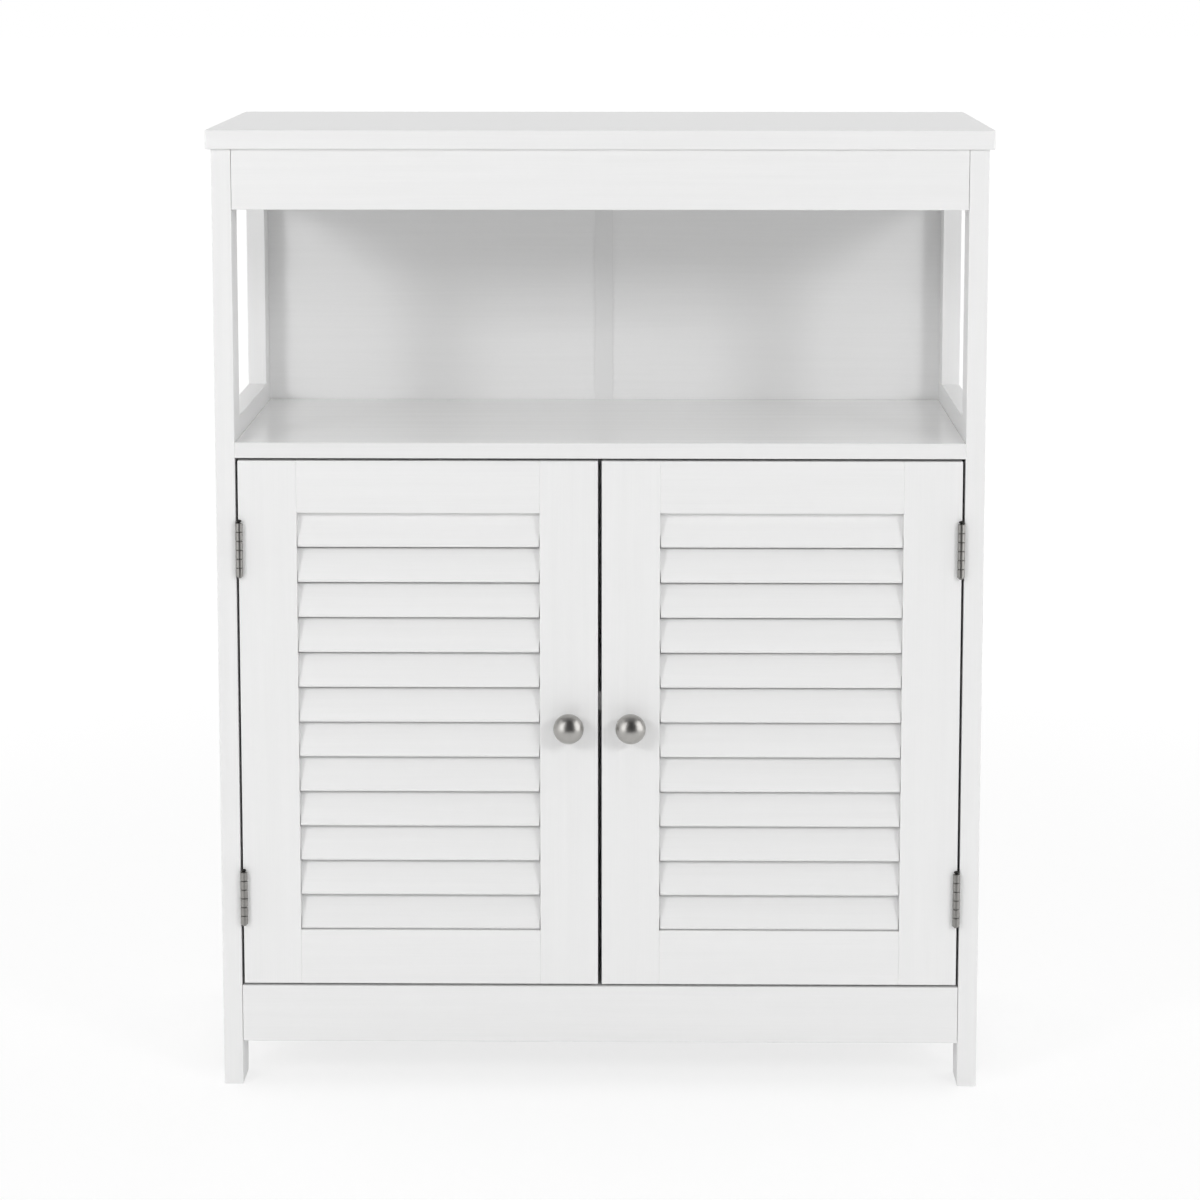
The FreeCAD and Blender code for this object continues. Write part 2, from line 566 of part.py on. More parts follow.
def make_hinge(name, side, level, z):
    """Case leaf, door leaf, pin and screws of one hinge."""
    prefix = name + "_" + level + "_hinge_"
    case_near = INNER - LEAF_THICK
    door_far = DOOR_FAR + LEAF_THICK
    case_leaf = hinge_leaf(side, z, case_near, INNER, range(1, KNUCKLE_COUNT, 2))
    door_leaf = hinge_leaf(side, z, DOOR_FAR, door_far, range(0, KNUCKLE_COUNT, 2))
    screw_depth = (LEAF_FRONT + LEAF_BACK) / 2
    case_screws = []
    door_screws = []
    for step in (-HINGE_SCREW_SPACING / 2, HINGE_SCREW_SPACING / 2):
        case_screws.append(countersunk_screw(
            at(side * case_near, screw_depth, z + step), X_AXIS * side,
            HINGE_SCREW_RADIUS, HINGE_SCREW_HEAD_RADIUS, HINGE_SCREW_LENGTH))
        door_screws.append(countersunk_screw(
            at(side * door_far, screw_depth, z + step), X_AXIS * -side,
            HINGE_SCREW_RADIUS, HINGE_SCREW_HEAD_RADIUS, HINGE_SCREW_LENGTH))
    solids[prefix + "case_leaf"] = case_leaf.cut(case_screws)
    solids[prefix + "door_leaf"] = door_leaf.cut(door_screws)
    solids[prefix + "pin"] = hinge_pin(side, z)
    group("case_hinge_screws", *case_screws)
    group(name + "_door_hinge_screws", *door_screws)
    bore(name + "_front_post", *case_screws)
    bore(name + "_door_hinge_stile", *door_screws)


# ---- Build --------------------------------------------------------------------
make_top_board()
make_front_rails()
make_fixed_boards()
make_back()
make_inner_shelf()
make_catches()
for side_name, sign in SIDES.items():
    make_side(side_name, sign)
    make_door(side_name, sign)
    make_knob(side_name, sign)
    make_strike(side_name, sign)
    for level_name, height in HINGE_HEIGHTS.items():
        make_hinge(side_name, sign, level_name, height)

for node, tools in bores.items():
    solids[node] = solids[node].cut(tools)
for node, members in groups.items():
    solids[node] = Part.makeCompound(members)

os.makedirs("parts", exist_ok=True)
for node, shape in solids.items():
    shape.exportStep("parts/" + node + ".step")
    print(node, len(shape.Solids), shape.isValid(), round(shape.Volume))
print(len(solids), "nodes")
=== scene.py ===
"""Louvred door cabinet: the paint, louvres, knobs, hinges and small fittings round its frame.

Metres. +X is right, +Y is back, +Z is up and the floor is Z = 0.
"""

from __future__ import annotations

import json
import logging
import math
from dataclasses import dataclass, field, replace
from enum import Enum
from typing import Any, Callable, Iterable, Sequence

import bmesh
import bpy
from mathutils import Matrix, Vector

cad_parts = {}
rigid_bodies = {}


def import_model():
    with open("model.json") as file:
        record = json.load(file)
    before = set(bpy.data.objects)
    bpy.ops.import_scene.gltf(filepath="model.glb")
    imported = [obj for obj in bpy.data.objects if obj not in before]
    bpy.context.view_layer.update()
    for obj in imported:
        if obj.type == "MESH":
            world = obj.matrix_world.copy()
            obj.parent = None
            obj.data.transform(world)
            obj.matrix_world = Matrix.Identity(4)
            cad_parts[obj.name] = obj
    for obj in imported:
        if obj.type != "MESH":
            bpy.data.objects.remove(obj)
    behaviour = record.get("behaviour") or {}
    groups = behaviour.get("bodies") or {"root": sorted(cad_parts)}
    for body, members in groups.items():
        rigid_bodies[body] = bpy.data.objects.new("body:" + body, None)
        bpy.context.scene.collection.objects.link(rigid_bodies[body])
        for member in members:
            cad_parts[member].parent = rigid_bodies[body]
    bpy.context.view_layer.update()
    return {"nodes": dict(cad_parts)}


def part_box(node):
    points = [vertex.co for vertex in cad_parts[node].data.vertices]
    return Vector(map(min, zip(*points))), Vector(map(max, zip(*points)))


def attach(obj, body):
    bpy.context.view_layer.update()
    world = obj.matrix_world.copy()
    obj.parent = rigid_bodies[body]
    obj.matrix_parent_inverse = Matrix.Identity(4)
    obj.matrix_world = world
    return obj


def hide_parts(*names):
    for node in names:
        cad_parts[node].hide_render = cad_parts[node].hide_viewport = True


LOG = logging.getLogger("cabinet")
MM = 0.001
WHITE = (1, 1, 1, 1)

# Faces round small turned forms and screw cores, and points of round corners and thread turns.
ROUND_SIDES = 40
CORE_SIDES = 20
SLAT_CORNER_STEPS = 8
LEAF_CORNER_STEPS = 6
THREAD_STEPS = 14

# How much of a screw's shank is threaded, and how far down its whole length the thread begins.
THREAD_SHARE = 0.86
THREAD_FOOT_SHARE = 0.97

# A hinge's holes are cut a little deeper than the leaf, and catch and strike screws stand proud.
HOLE_DEPTH_SHARE = 1.02
HEAD_PROUD = 0.02 * MM

# Seeds of the slats' lean and of the way each screw's cross is turned.
LEAN_SEED = 7
TURN_SEED = 3

# Points this close are one, and edges this short and rings this narrow are a point.
WELD_DISTANCE = 1e-7
SLIVER_LENGTH = 1e-8
AXIS_RADIUS = 1e-9

# Edges that bend less are shaded smooth, and corners that are sharper move less in an inset.
SMOOTH_BELOW = math.radians(35.0)
SHARPEST_CORNER = 0.35

Point = tuple[float, float]
Point3 = tuple[float, float, float]
Socket = bpy.types.NodeSocket
Tree = bpy.types.NodeTree
Material = bpy.types.Material
Shape = bmesh.types.BMesh
Inputs = dict[Any, Any]
Drives = list[tuple[Vector, Vector]]  # The middle of each screw's face and the way it is driven.


# ---- Named options ------------------------------------------------------------------
class Side(Enum):
    """A side of the cabinet and the sign of its X places."""

    LEFT = -1
    RIGHT = 1

    @property
    def word(self) -> str:
        """The word that begins the names of this side's nodes and pieces."""
        return self.name.lower()

    @property
    def door(self) -> str:
        """The name of this side's door, which is a body."""
        return f"{self.word}_door"


class Grain(Enum):
    """The axis that the brush marks of a painted board run along."""

    ACROSS = (1, 0, 0)
    DEEP = (0, 1, 0)
    UPRIGHT = (0, 0, 1)


class Slot(Enum):
    """Material slots of the record."""

    PAINT = "white_paint"
    BACK = "white_back_panel"
    STRIP = "white_strip_plastic"
    PLASTIC = "white_fitting_plastic"
    NICKEL = "satin_nickel"
    ZINC = "zinc_steel"
    MAGNET = "magnet_iron"
    BEECH = "beech_dowel"


class Kind(Enum):
    """Socket types of a shape tree's inputs."""

    SHAPE = "NodeSocketGeometry"
    SIZE = "NodeSocketFloat"
    COUNT = "NodeSocketInt"
    PLACE = "NodeSocketVector"
    FINISH = "NodeSocketMaterial"


# ---- Node trees -----------------------------------------------------------------------
@dataclass
class Graph:
    """A node tree that is being filled."""

    tree: Tree

    def add(self, kind: str, inputs: Inputs | None = None, **options: Any) -> bpy.types.Node:
        """Adds a node.

        Args:
            kind: The node's type name.
            inputs: Values or output sockets for its inputs, by name or number.
            options: The node's own settings, which are set first.

        Returns:
            The new node.
        """
        node = self.tree.nodes.new(kind)
        for option, value in options.items():
            setattr(node, option, value)
        for key, value in (inputs or {}).items():
            for source in value if isinstance(value, list) else [value]:
                if isinstance(source, Socket):
                    self.tree.links.new(source, node.inputs[key])
                else:
                    node.inputs[key].default_value = source
        return node

    def result(self, kind: str, inputs: Inputs | None = None, **options: Any) -> Socket:
        """Adds a node, as add does, and returns its first output."""
        return self.add(kind, inputs, **options).outputs[0]

    def math(self, operation: str, *values: Any) -> Socket:
        """Adds a Math node and returns its result."""
        return self.result("ShaderNodeMath", dict(enumerate(values)), operation=operation)

    def vector(self, operation: str, *values: Any, output: str = "Vector") -> Socket:
        """Adds a Vector Math node and returns one of its results."""
        return self.add("ShaderNodeVectorMath", dict(enumerate(values)), operation=operation).outputs[output]

    def scaled(self, value: Socket, factor: float) -> Socket:
        """Multiplies a value by a plain number."""
        return self.math("MULTIPLY", value, factor)


class ShaderGraph(Graph):
    """The node tree of a finish, or of the surroundings."""

    def object_place(self, scale: Sequence[float], centre: Sequence[float] = (0, 0, 0)) -> Socket:
        """Object coordinates about a centre, stretched.

        Args:
            scale: How many units of the pattern a metre has, along each axis.
            centre: The point that becomes the pattern's origin.

        Returns:
            The mapped coordinates.
        """
        place = self.add("ShaderNodeTexCoord").outputs["Object"]
        shift = tuple(-c * s for c, s in zip(centre, scale))
        return self.result("ShaderNodeMapping", {"Vector": place, "Location": shift, "Scale": tuple(scale)})

    def pattern(self, sizes: Sequence[float], detail: float = 2.0, roughness: float = 0.5) -> Socket:
        """Soft noise.

        Args:
            sizes: The length of one feature along each axis.
            detail: How many finer layers the noise has.
            roughness: The strength of each finer layer, as a share of the one before.

        Returns:
            The noise, from 0 to 1.
        """
        place = self.object_place([1 / size for size in sizes])
        inputs = {"Vector": place, "Scale": 1.0, "Detail": detail, "Roughness": roughness}
        return self.add("ShaderNodeTexNoise", inputs).outputs["Fac"]

    def weighed(self, first: Socket, second: Socket, share: float) -> Socket:
        """Adds two values, the first with a share of the whole and the second with the rest."""
        return self.math("ADD", self.scaled(first, share), self.scaled(second, 1 - share))

    def tint(self, factor: Socket, dark: Sequence[float], light: Sequence[float]) -> Socket:
        """Mixes two linear colours, the dark one at a factor of 0 and the light one at 1."""
        inputs = {0: factor, 6: (*dark, 1.0), 7: (*light, 1.0)}
        return self.add("ShaderNodeMix", inputs, data_type="RGBA").outputs[2]

    def greys(self, factor: Socket, low: float, high: float, blue: float = 1.0) -> Socket:
        """Mixes two pale greys, with less blue where its share is under 1."""
        return self.tint(factor, (low, low, low * blue), (high, high, high * blue))

    def about(self, value: Socket, middle: float, spread: float) -> Socket:
        """Spreads a value of 0 to 1 over a range about its middle."""
        inputs = {"Value": value, "To Min": middle - spread / 2, "To Max": middle + spread / 2}
        return self.result("ShaderNodeMapRange", inputs)

    def relief(self, layers: Sequence[tuple[Socket, float]], strength: float = 0.5) -> Socket:
        """Turns heights into a bent normal.

        Args:
            layers: A height of 0 to 1 and how deep a height of 1 is, for each layer, coarsest first.
            strength: The share of the effect.

        Returns:
            The bent normal.
        """
        below: Inputs = {}
        for height, depth in layers:
            inputs = {"Height": height, "Distance": depth, "Strength": strength, **below}
            below = {"Normal": self.result("ShaderNodeBump", inputs)}
        return below["Normal"]

    def mixed(self, factor: Socket, first: Socket, second: Socket) -> Socket:
        """Mixes two shaders, the first at a factor of 0 and the second at 1."""
        return self.result("ShaderNodeMixShader", {0: factor, 1: first, 2: second})

    def seen(self) -> Socket:
        """Tells the rays that show a surface from those that light others.

        Returns:
            1 for a ray of the camera, a reflection or a transmission, and 0 for lighting.
        """
        path = self.add("ShaderNodeLightPath").outputs
        mirrored = self.math("MAXIMUM", path["Is Glossy Ray"], path["Is Transmission Ray"])
        return self.math("MAXIMUM", path["Is Camera Ray"], mirrored)


def fill(owner: Material | bpy.types.World, ending: str, surface: Callable[[ShaderGraph], Socket]) -> Any:
    """Fills the node tree of a new material or world.

    Args:
        owner: The material or the world.
        ending: The type name of its output node.
        surface: Adds the other nodes and returns the last shader's output.

    Returns:
        The owner.
    """
    owner.use_nodes = True
    owner.node_tree.nodes.clear()
    graph = ShaderGraph(owner.node_tree)
    graph.add(ending, {"Surface": surface(graph)})
    return owner


def new_material(name: str, surface: Callable[[ShaderGraph], Socket]) -> Material:
    """Makes a material with the nodes that a function adds."""
    return fill(bpy.data.materials.new(name), "ShaderNodeOutputMaterial", surface)


# ---- Finishes ---------------------------------------------------------------------------
class Finish:
    """A finish, which makes one material."""

    name: str

    def looks(self, graph: ShaderGraph) -> Inputs:
        """What the shader's inputs get, by name."""
        raise NotImplementedError(self.name)

    def surface(self, graph: ShaderGraph) -> Socket:
        """The shader with this finish's looks."""
        return graph.result("ShaderNodeBsdfPrincipled", self.looks(graph))

    def material(self) -> Material:
        """Makes the material."""
        return new_material(self.name, self.surface)


@dataclass(frozen=True)
class PaintFinish(Finish):
    """Satin white paint that keeps the marks of the brush and a trace of the board's grain."""

    grain: Grain
    coat: str = "satin_paint"
    tone: float = 0.87
    tone_spread: float = 0.04
    blue_share: float = 0.998
    roughness: float = 0.37
    roughness_spread: float = 0.10
    mark_share: float = 0.6
    mark_width: float = 0.55 * MM
    mark_length: float = 65 * MM
    wave_width: float = 5.5 * MM
    wave_length: float = 260 * MM
    pore_size: float = 0.9 * MM
    mark_depth: float = 0.05 * MM
    wave_depth: float = 0.16 * MM
    pore_depth: float = 0.012 * MM

    @property
    def name(self) -> str:
        """The words of the coat and of its grain."""
        return f"{self.coat}_{self.grain.name.lower()}"

    def stretched(self, width: float, length: float) -> list[float]:
        """The sizes of a pattern that is long along the grain and narrow across it."""
        return [length if along else width for along in self.grain.value]

    def looks(self, graph: ShaderGraph) -> Inputs:
        """Brush marks over wide waves, and fine pores.

        Args:
            graph: The material's graph.

        Returns:
            What the shader's inputs get, by name.
        """
        marks = graph.pattern(self.stretched(self.mark_width, self.mark_length), detail=3.0, roughness=0.6)
        waves = graph.pattern(self.stretched(self.wave_width, self.wave_length))
        pores = graph.pattern([self.pore_size] * 3, detail=1.0)
        shade = graph.weighed(marks, waves, self.mark_share)
        low, high = self.tone - self.tone_spread, self.tone + self.tone_spread
        layers = [(waves, self.wave_depth), (marks, self.mark_depth), (pores, self.pore_depth)]
        return {"Base Color": graph.greys(shade, low, high, self.blue_share),
                "Roughness": graph.about(waves, self.roughness, self.roughness_spread),
                "Normal": graph.relief(layers)}


@dataclass(frozen=True)
class BackPanelFinish(Finish):
    """White-faced thin board with a faint rolled texture that runs across it."""

    name: str = "white_faced_board"
    tone: float = 0.87
    tone_spread: float = 0.028
    roughness: float = 0.51
    roughness_spread: float = 0.10
    dimple_share: float = 0.3
    streak_length: float = 120 * MM
    streak_width: float = 2.2 * MM
    dimple_size: float = 1.6 * MM
    dimple_depth: float = 0.03 * MM
    ripple_size: float = 45 * MM
    ripple_depth: float = 0.25 * MM

    def looks(self, graph: ShaderGraph) -> Inputs:
        """Wide ripples under dimples and faint streaks.

        Args:
            graph: The material's graph.

        Returns:
            What the shader's inputs get, by name.
        """
        ripple = graph.pattern([self.ripple_size] * 3, detail=1.0)
        dimple = graph.pattern([self.dimple_size] * 3)
        streak = graph.pattern([self.streak_length, self.streak_length, self.streak_width], detail=3.0)
        shade = graph.weighed(dimple, streak, self.dimple_share)
        return {"Base Color": graph.greys(shade, self.tone - self.tone_spread, self.tone + self.tone_spread),
                "Roughness": graph.about(dimple, self.roughness, self.roughness_spread),
                "Normal": graph.relief([(ripple, self.ripple_depth), (dimple, self.dimple_depth)])}


@dataclass(frozen=True)
class PlasticFinish(Finish):
    """Matt white plastic with a fine moulded or drawn surface."""

    name: str
    tone: float
    speck_sizes: Point3
    dark_share: float = 0.98
    roughness: float = 0.48
    roughness_spread: float = 0.10
    speck_depth: float = 0.02 * MM
    refraction: float = 1.49

    def looks(self, graph: ShaderGraph) -> Inputs:
        """Fine specks.

        Args:
            graph: The material's graph.

        Returns:
            What the shader's inputs get, by name.
        """
        speck = graph.pattern(self.speck_sizes)
        return {"Base Color": graph.greys(speck, self.tone * self.dark_share, self.tone),
                "Roughness": graph.about(speck, self.roughness, self.roughness_spread),
                "Normal": graph.relief([(speck, self.speck_depth)]), "IOR": self.refraction}


@dataclass(frozen=True)
class NickelFinish(Finish):
    """Satin nickel plate with fine marks: rings about a turned knob, or lines along a barrel."""

    name: str
    centre: Point3 | None = None
    dark: Point3 = (0.37, 0.362, 0.347)
    light: Point3 = (0.47, 0.46, 0.443)
    roughness: float = 0.32
    roughness_spread: float = 0.10
    mark_share: float = 0.5
    mark_width: float = 0.16 * MM
    mark_length: float = 9 * MM
    mark_depth: float = 0.006 * MM
    mark_strength: float = 0.4
    cloud_size: float = 5 * MM

    def marks(self, graph: ShaderGraph) -> Socket:
        """The brush marks, turned about the knob's axis where there is a centre.

        Args:
            graph: The material's graph.

        Returns:
            The marks, from 0 to 1.
        """
        if self.centre is None:
            sizes = [self.mark_width, self.mark_width, self.mark_length]
            return graph.pattern(sizes, detail=3.0, roughness=0.6)
        reach = graph.vector("LENGTH", graph.object_place((1, 0, 1), self.centre), output="Value")
        inputs = {"W": graph.math("DIVIDE", reach, self.mark_width), "Scale": 1.0, "Detail": 2.0}
        return graph.add("ShaderNodeTexNoise", inputs, noise_dimensions="1D").outputs["Fac"]

    def looks(self, graph: ShaderGraph) -> Inputs:
        """Marks over soft clouds.

        Args:
            graph: The material's graph.

        Returns:
            What the shader's inputs get, by name.
        """
        marks = self.marks(graph)
        clouds = graph.pattern([self.cloud_size] * 3, detail=3.0)
        worn = graph.weighed(marks, clouds, self.mark_share)
        return {"Base Color": graph.tint(worn, self.dark, self.light),
                "Roughness": graph.about(worn, self.roughness, self.roughness_spread),
                "Normal": graph.relief([(marks, self.mark_depth)], self.mark_strength), "Metallic": 1.0}


@dataclass(frozen=True)
class ZincFinish(Finish):
    """Bright zinc plate on steel fittings, with pale crystals."""

    name: str = "zinc_plate"
    crystal_size: float = 1.8 * MM
    colour_shares: Point3 = (0.4, 0.3, 0.3)
    dark: Point3 = (0.40, 0.41, 0.43)
    light: Point3 = (0.58, 0.59, 0.61)
    roughness: float = 0.34
    roughness_spread: float = 0.16
    grit_depth: float = 0.01 * MM
    grit_strength: float = 0.4

    def looks(self, graph: ShaderGraph) -> Inputs:
        """Crystals of one grey each, with a fine grit.

        Args:
            graph: The material's graph.

        Returns:
            What the shader's inputs get, by name.
        """
        sizes = [self.crystal_size] * 3
        place = graph.object_place([1 / size for size in sizes])
        cells = graph.add("ShaderNodeTexVoronoi", {"Vector": place, "Scale": 1.0})
        crystal = graph.vector("DOT_PRODUCT", cells.outputs["Color"], self.colour_shares, output="Value")
        grit = graph.pattern(sizes, detail=3.0)
        return {"Base Color": graph.tint(crystal, self.dark, self.light),
                "Roughness": graph.about(crystal, self.roughness, self.roughness_spread),
                "Normal": graph.relief([(grit, self.grit_depth)], self.grit_strength), "Metallic": 1.0}


@dataclass(frozen=True)
class MagnetFinish(Finish):
    """Dark sintered magnet, dull and grainy."""

    name: str = "sintered_magnet"
    grain_size: float = 0.35 * MM
    grain_depth: float = 0.05 * MM
    grain_strength: float = 0.6
    dark: Point3 = (0.02, 0.02, 0.022)
    light: Point3 = (0.075, 0.074, 0.076)
    roughness: float = 0.625
    roughness_spread: float = 0.25
    metal_share: float = 0.35

    def looks(self, graph: ShaderGraph) -> Inputs:
        """One fine grain.

        Args:
            graph: The material's graph.

        Returns:
            What the shader's inputs get, by name.
        """
        grit = graph.pattern([self.grain_size] * 3, detail=3.0, roughness=0.65)
        return {"Base Color": graph.tint(grit, self.dark, self.light),
                "Roughness": graph.about(grit, self.roughness, self.roughness_spread),
                "Normal": graph.relief([(grit, self.grain_depth)], self.grain_strength),
                "Metallic": self.metal_share}


@dataclass(frozen=True)
class BeechFinish(Finish):
    """Raw turned beech, pale with short darker flecks."""

    name: str = "raw_beech"
    fleck_share: float = 0.55
    fleck_width: float = 0.35 * MM
    fleck_length: float = 4 * MM
    fleck_depth: float = 0.06 * MM
    fleck_strength: float = 0.6
    band_width: float = 1.6 * MM
    band_length: float = 12 * MM
    dark: Point3 = (0.40, 0.235, 0.11)
    light: Point3 = (0.68, 0.47, 0.275)
    roughness: float = 0.635
    roughness_spread: float = 0.17

    def looks(self, graph: ShaderGraph) -> Inputs:
        """Flecks over wider bands.

        Args:
            graph: The material's graph.

        Returns:
            What the shader's inputs get, by name.
        """
        flecks = graph.pattern([self.fleck_length, self.fleck_width, self.fleck_width], detail=4.0,
                               roughness=0.6)
        bands = graph.pattern([self.band_length, self.band_width, self.band_width])
        shade = graph.weighed(flecks, bands, self.fleck_share)
        return {"Base Color": graph.tint(shade, self.dark, self.light),
                "Roughness": graph.about(shade, self.roughness, self.roughness_spread),
                "Normal": graph.relief([(flecks, self.fleck_depth)], self.fleck_strength)}


@dataclass
class Finishes:
    """One material of every finish that the cabinet has."""

    paint: dict[Grain, Material] = field(default_factory=dict)
    gloss: Material | None = None
    cap: Material | None = None
    other: dict[Slot, Material] = field(default_factory=dict)

    def make(self) -> Finishes:
        """Makes the materials.

        Returns:
            This set.
        """
        self.paint = {grain: PaintFinish(grain).material() for grain in Grain}
        self.gloss = PaintFinish(Grain.ACROSS, "half_gloss_paint", roughness=0.17, roughness_spread=0.04,
                                 mark_depth=0.015 * MM, wave_depth=0.07 * MM).material()
        # The caps on the hinge pins get a near-black nickel finish.
        self.cap = NickelFinish("blackened_cap", dark=(0.03, 0.029, 0.028), light=(0.055, 0.053, 0.05),
                                roughness=0.42).material()
        kinds = {
            Slot.BACK: BackPanelFinish(),
            Slot.STRIP: PlasticFinish("drawn_white_plastic", 0.82, (0.4 * MM, 0.4 * MM, 30 * MM)),
            Slot.PLASTIC: PlasticFinish("moulded_white_plastic", 0.77, (0.5 * MM, 0.5 * MM, 0.5 * MM)),
            Slot.NICKEL: NickelFinish("satin_nickel_barrel", dark=(0.24, 0.235, 0.226),
                                      light=(0.33, 0.323, 0.31), roughness=0.40),
            Slot.ZINC: ZincFinish(),
            Slot.MAGNET: MagnetFinish(),
            Slot.BEECH: BeechFinish(),
        }
        self.other = {slot: finish.material() for slot, finish in kinds.items()}
        return self


# ---- Shape trees --------------------------------------------------------------------------
@dataclass
class ShapeGraph(Graph):
    """The node tree of a shape, with the values that it is given by name."""

    given: dict[str, Socket]

    def place(self, x: Any = 0.0, y: Any = 0.0, z: Any = 0.0) -> Socket:
        """A vector of three values."""
        return self.result("ShaderNodeCombineXYZ", {"X": x, "Y": y, "Z": z})

    def transformed(self, shape: Socket, place: Any = (0, 0, 0), turn: Any = (0, 0, 0)) -> Socket:
        """Turns a shape about the origin and moves it to a place."""
        inputs = {"Geometry": shape, "Translation": place, "Rotation": turn}
        return self.result("GeometryNodeTransform", inputs)

    def joined(self, shapes: list[Socket]) -> Socket:
        """Collects several shapes in one."""
        return self.result("GeometryNodeJoinGeometry", {"Geometry": shapes})

    def without(self, shape: Socket, cutters: list[Socket]) -> Socket:
        """Cuts other shapes out of a shape."""
        inputs = {"Mesh 1": shape, "Mesh 2": cutters}
        return self.result("GeometryNodeMeshBoolean", inputs, operation="DIFFERENCE")

    def block(self, x: Socket, y: Socket, z: Socket) -> Socket:
        """A block about the origin."""
        return self.result("GeometryNodeMeshCube", {"Size": self.place(x, y, z)})

    def cone(self, top: Socket, bottom: Socket, height: Socket, foot_share: float) -> Socket:
        """A cut cone on the Z axis.

        Args:
            top: The upper radius.
            bottom: The lower radius.
            height: The height.
            foot_share: The height of its foot, as a share of its own height.

        Returns:
            The cone's mesh.
        """
        inputs = {"Vertices": ROUND_SIDES, "Radius Top": top, "Radius Bottom": bottom, "Depth": height}
        cone = self.result("GeometryNodeMeshCone", inputs)
        return self.transformed(cone, self.place(z=self.scaled(height, foot_share)))

    def rounded(self, width: Socket, height: Socket, radius: Socket, steps: int) -> Socket:
        """The outline of a rectangle about the origin with rounded corners.

        Args:
            width: The size along X.
            height: The size along Y.
            radius: The radius of each corner.
            steps: Points of each corner.

        Returns:
            The closed curve.
        """
        inputs = {"Width": width, "Height": height}
        outline = self.result("GeometryNodeCurvePrimitiveQuadrilateral", inputs)
        inputs = {"Curve": outline, "Radius": radius, "Limit Radius": True, "Count": steps}
        return self.result("GeometryNodeFilletCurve", inputs, mode="POLY")

    def swept(self, path: Socket, section: Socket) -> Socket:
        """A closed shape of one section along a path."""
        inputs = {"Curve": path, "Profile Curve": section, "Fill Caps": True}
        return self.result("GeometryNodeCurveToMesh", inputs)

    def bar(self, section: Socket, length: Socket) -> Socket:
        """A closed bar of one section along Z from the origin."""
        inputs = {"Start": (0, 0, 0), "End": self.place(z=length)}
        return self.swept(self.result("GeometryNodeCurvePrimitiveLine", inputs), section)

    def row(self, count: Socket, start: Socket, step: Socket) -> Socket:
        """Points in an upright row, from its lowest one."""
        inputs = {"Count": count, "Start Location": start, "Offset": self.place(z=step)}
        return self.result("GeometryNodeMeshLine", inputs, mode="OFFSET")

    def copies(self, points: Socket, shape: Socket, turn: Any = (0, 0, 0)) -> Socket:
        """Sets a copy of a shape on each point, turned about it."""
        inputs = {"Points": points, "Instance": shape, "Rotation": turn}
        return self.result("GeometryNodeInstanceOnPoints", inputs)

    def close(self, shape: Socket) -> Tree:
        """Ends the tree with real geometry that wears the given finish.

        Args:
            shape: The geometry to give out.

        Returns:
            The finished tree.
        """
        real = self.result("GeometryNodeRealizeInstances", {"Geometry": shape})
        inputs = {"Geometry": real, "Material": self.given["Finish"]}
        dressed = self.result("GeometryNodeSetMaterial", inputs)
        self.add("NodeGroupOutput", {"Geometry": dressed})
        return self.tree


def new_shape_tree(name: str, labels: dict[Kind, Sequence[str]]) -> ShapeGraph:
    """Makes an empty Geometry Nodes tree.

    Args:
        name: The tree's name.
        labels: The names of its inputs of each kind, besides the geometry and the finish.

    Returns:
        The tree's graph.
    """
    tree = bpy.data.node_groups.new(name, "GeometryNodeTree")
    for kind, words in {Kind.SHAPE: ["Geometry"], **labels, Kind.FINISH: ["Finish"]}.items():
        for word in words:
            tree.interface.new_socket(word, in_out="INPUT", socket_type=kind.value)
    tree.interface.new_socket("Geometry", in_out="OUTPUT", socket_type=Kind.SHAPE.value)
    entry = Graph(tree).add("NodeGroupInput")
    return ShapeGraph(tree, {socket.name: socket for socket in entry.outputs if socket.name})


def slat_section(graph: ShapeGraph) -> Socket:
    """A slat's outline, with a rounder nose than its upper edges.

    Args:
        graph: The louvres' graph.

    Returns:
        The closed curve. The nose looks along X.
    """
    given = graph.given
    place = graph.result("GeometryNodeInputPosition")
    across = graph.add("ShaderNodeSeparateXYZ", {"Vector": place}).outputs["X"]
    nose = graph.math("GREATER_THAN", across, 0.0)
    inputs = {"Switch": nose, "False": given["Edge Radius"], "True": given["Nose Radius"]}
    radius = graph.result("GeometryNodeSwitch", inputs, input_type="FLOAT")
    return graph.rounded(given["Slat Width"], given["Slat Thickness"], radius, SLAT_CORNER_STEPS)


def slat_end_gap(graph: ShapeGraph, end: int, gap: Socket) -> Socket:
    """The wedge that a slat's nose lacks at one end, beside the stile.

    Args:
        graph: The louvres' graph.
        end: -1 for the left end and 1 for the right end.
        gap: How far the wedge shows beyond the stile.

    Returns:
        The wedge's mesh.
    """
    given = graph.given
    reach = graph.math("ADD", given["Slot Depth"], gap)
    width, height = graph.scaled(reach, 2.0), graph.scaled(given["Gap Height"], 2.0)
    block = graph.block(width, given["Slat Width"], height)
    corner = graph.place(graph.scaled(given["Slat Length"], end / 2),
                         z=graph.scaled(given["Slat Width"], -0.5))
    slant = graph.scaled(graph.math("ARCTAN2", gap, given["Gap Height"]), end)
    return graph.transformed(block, corner, graph.place(y=slant))


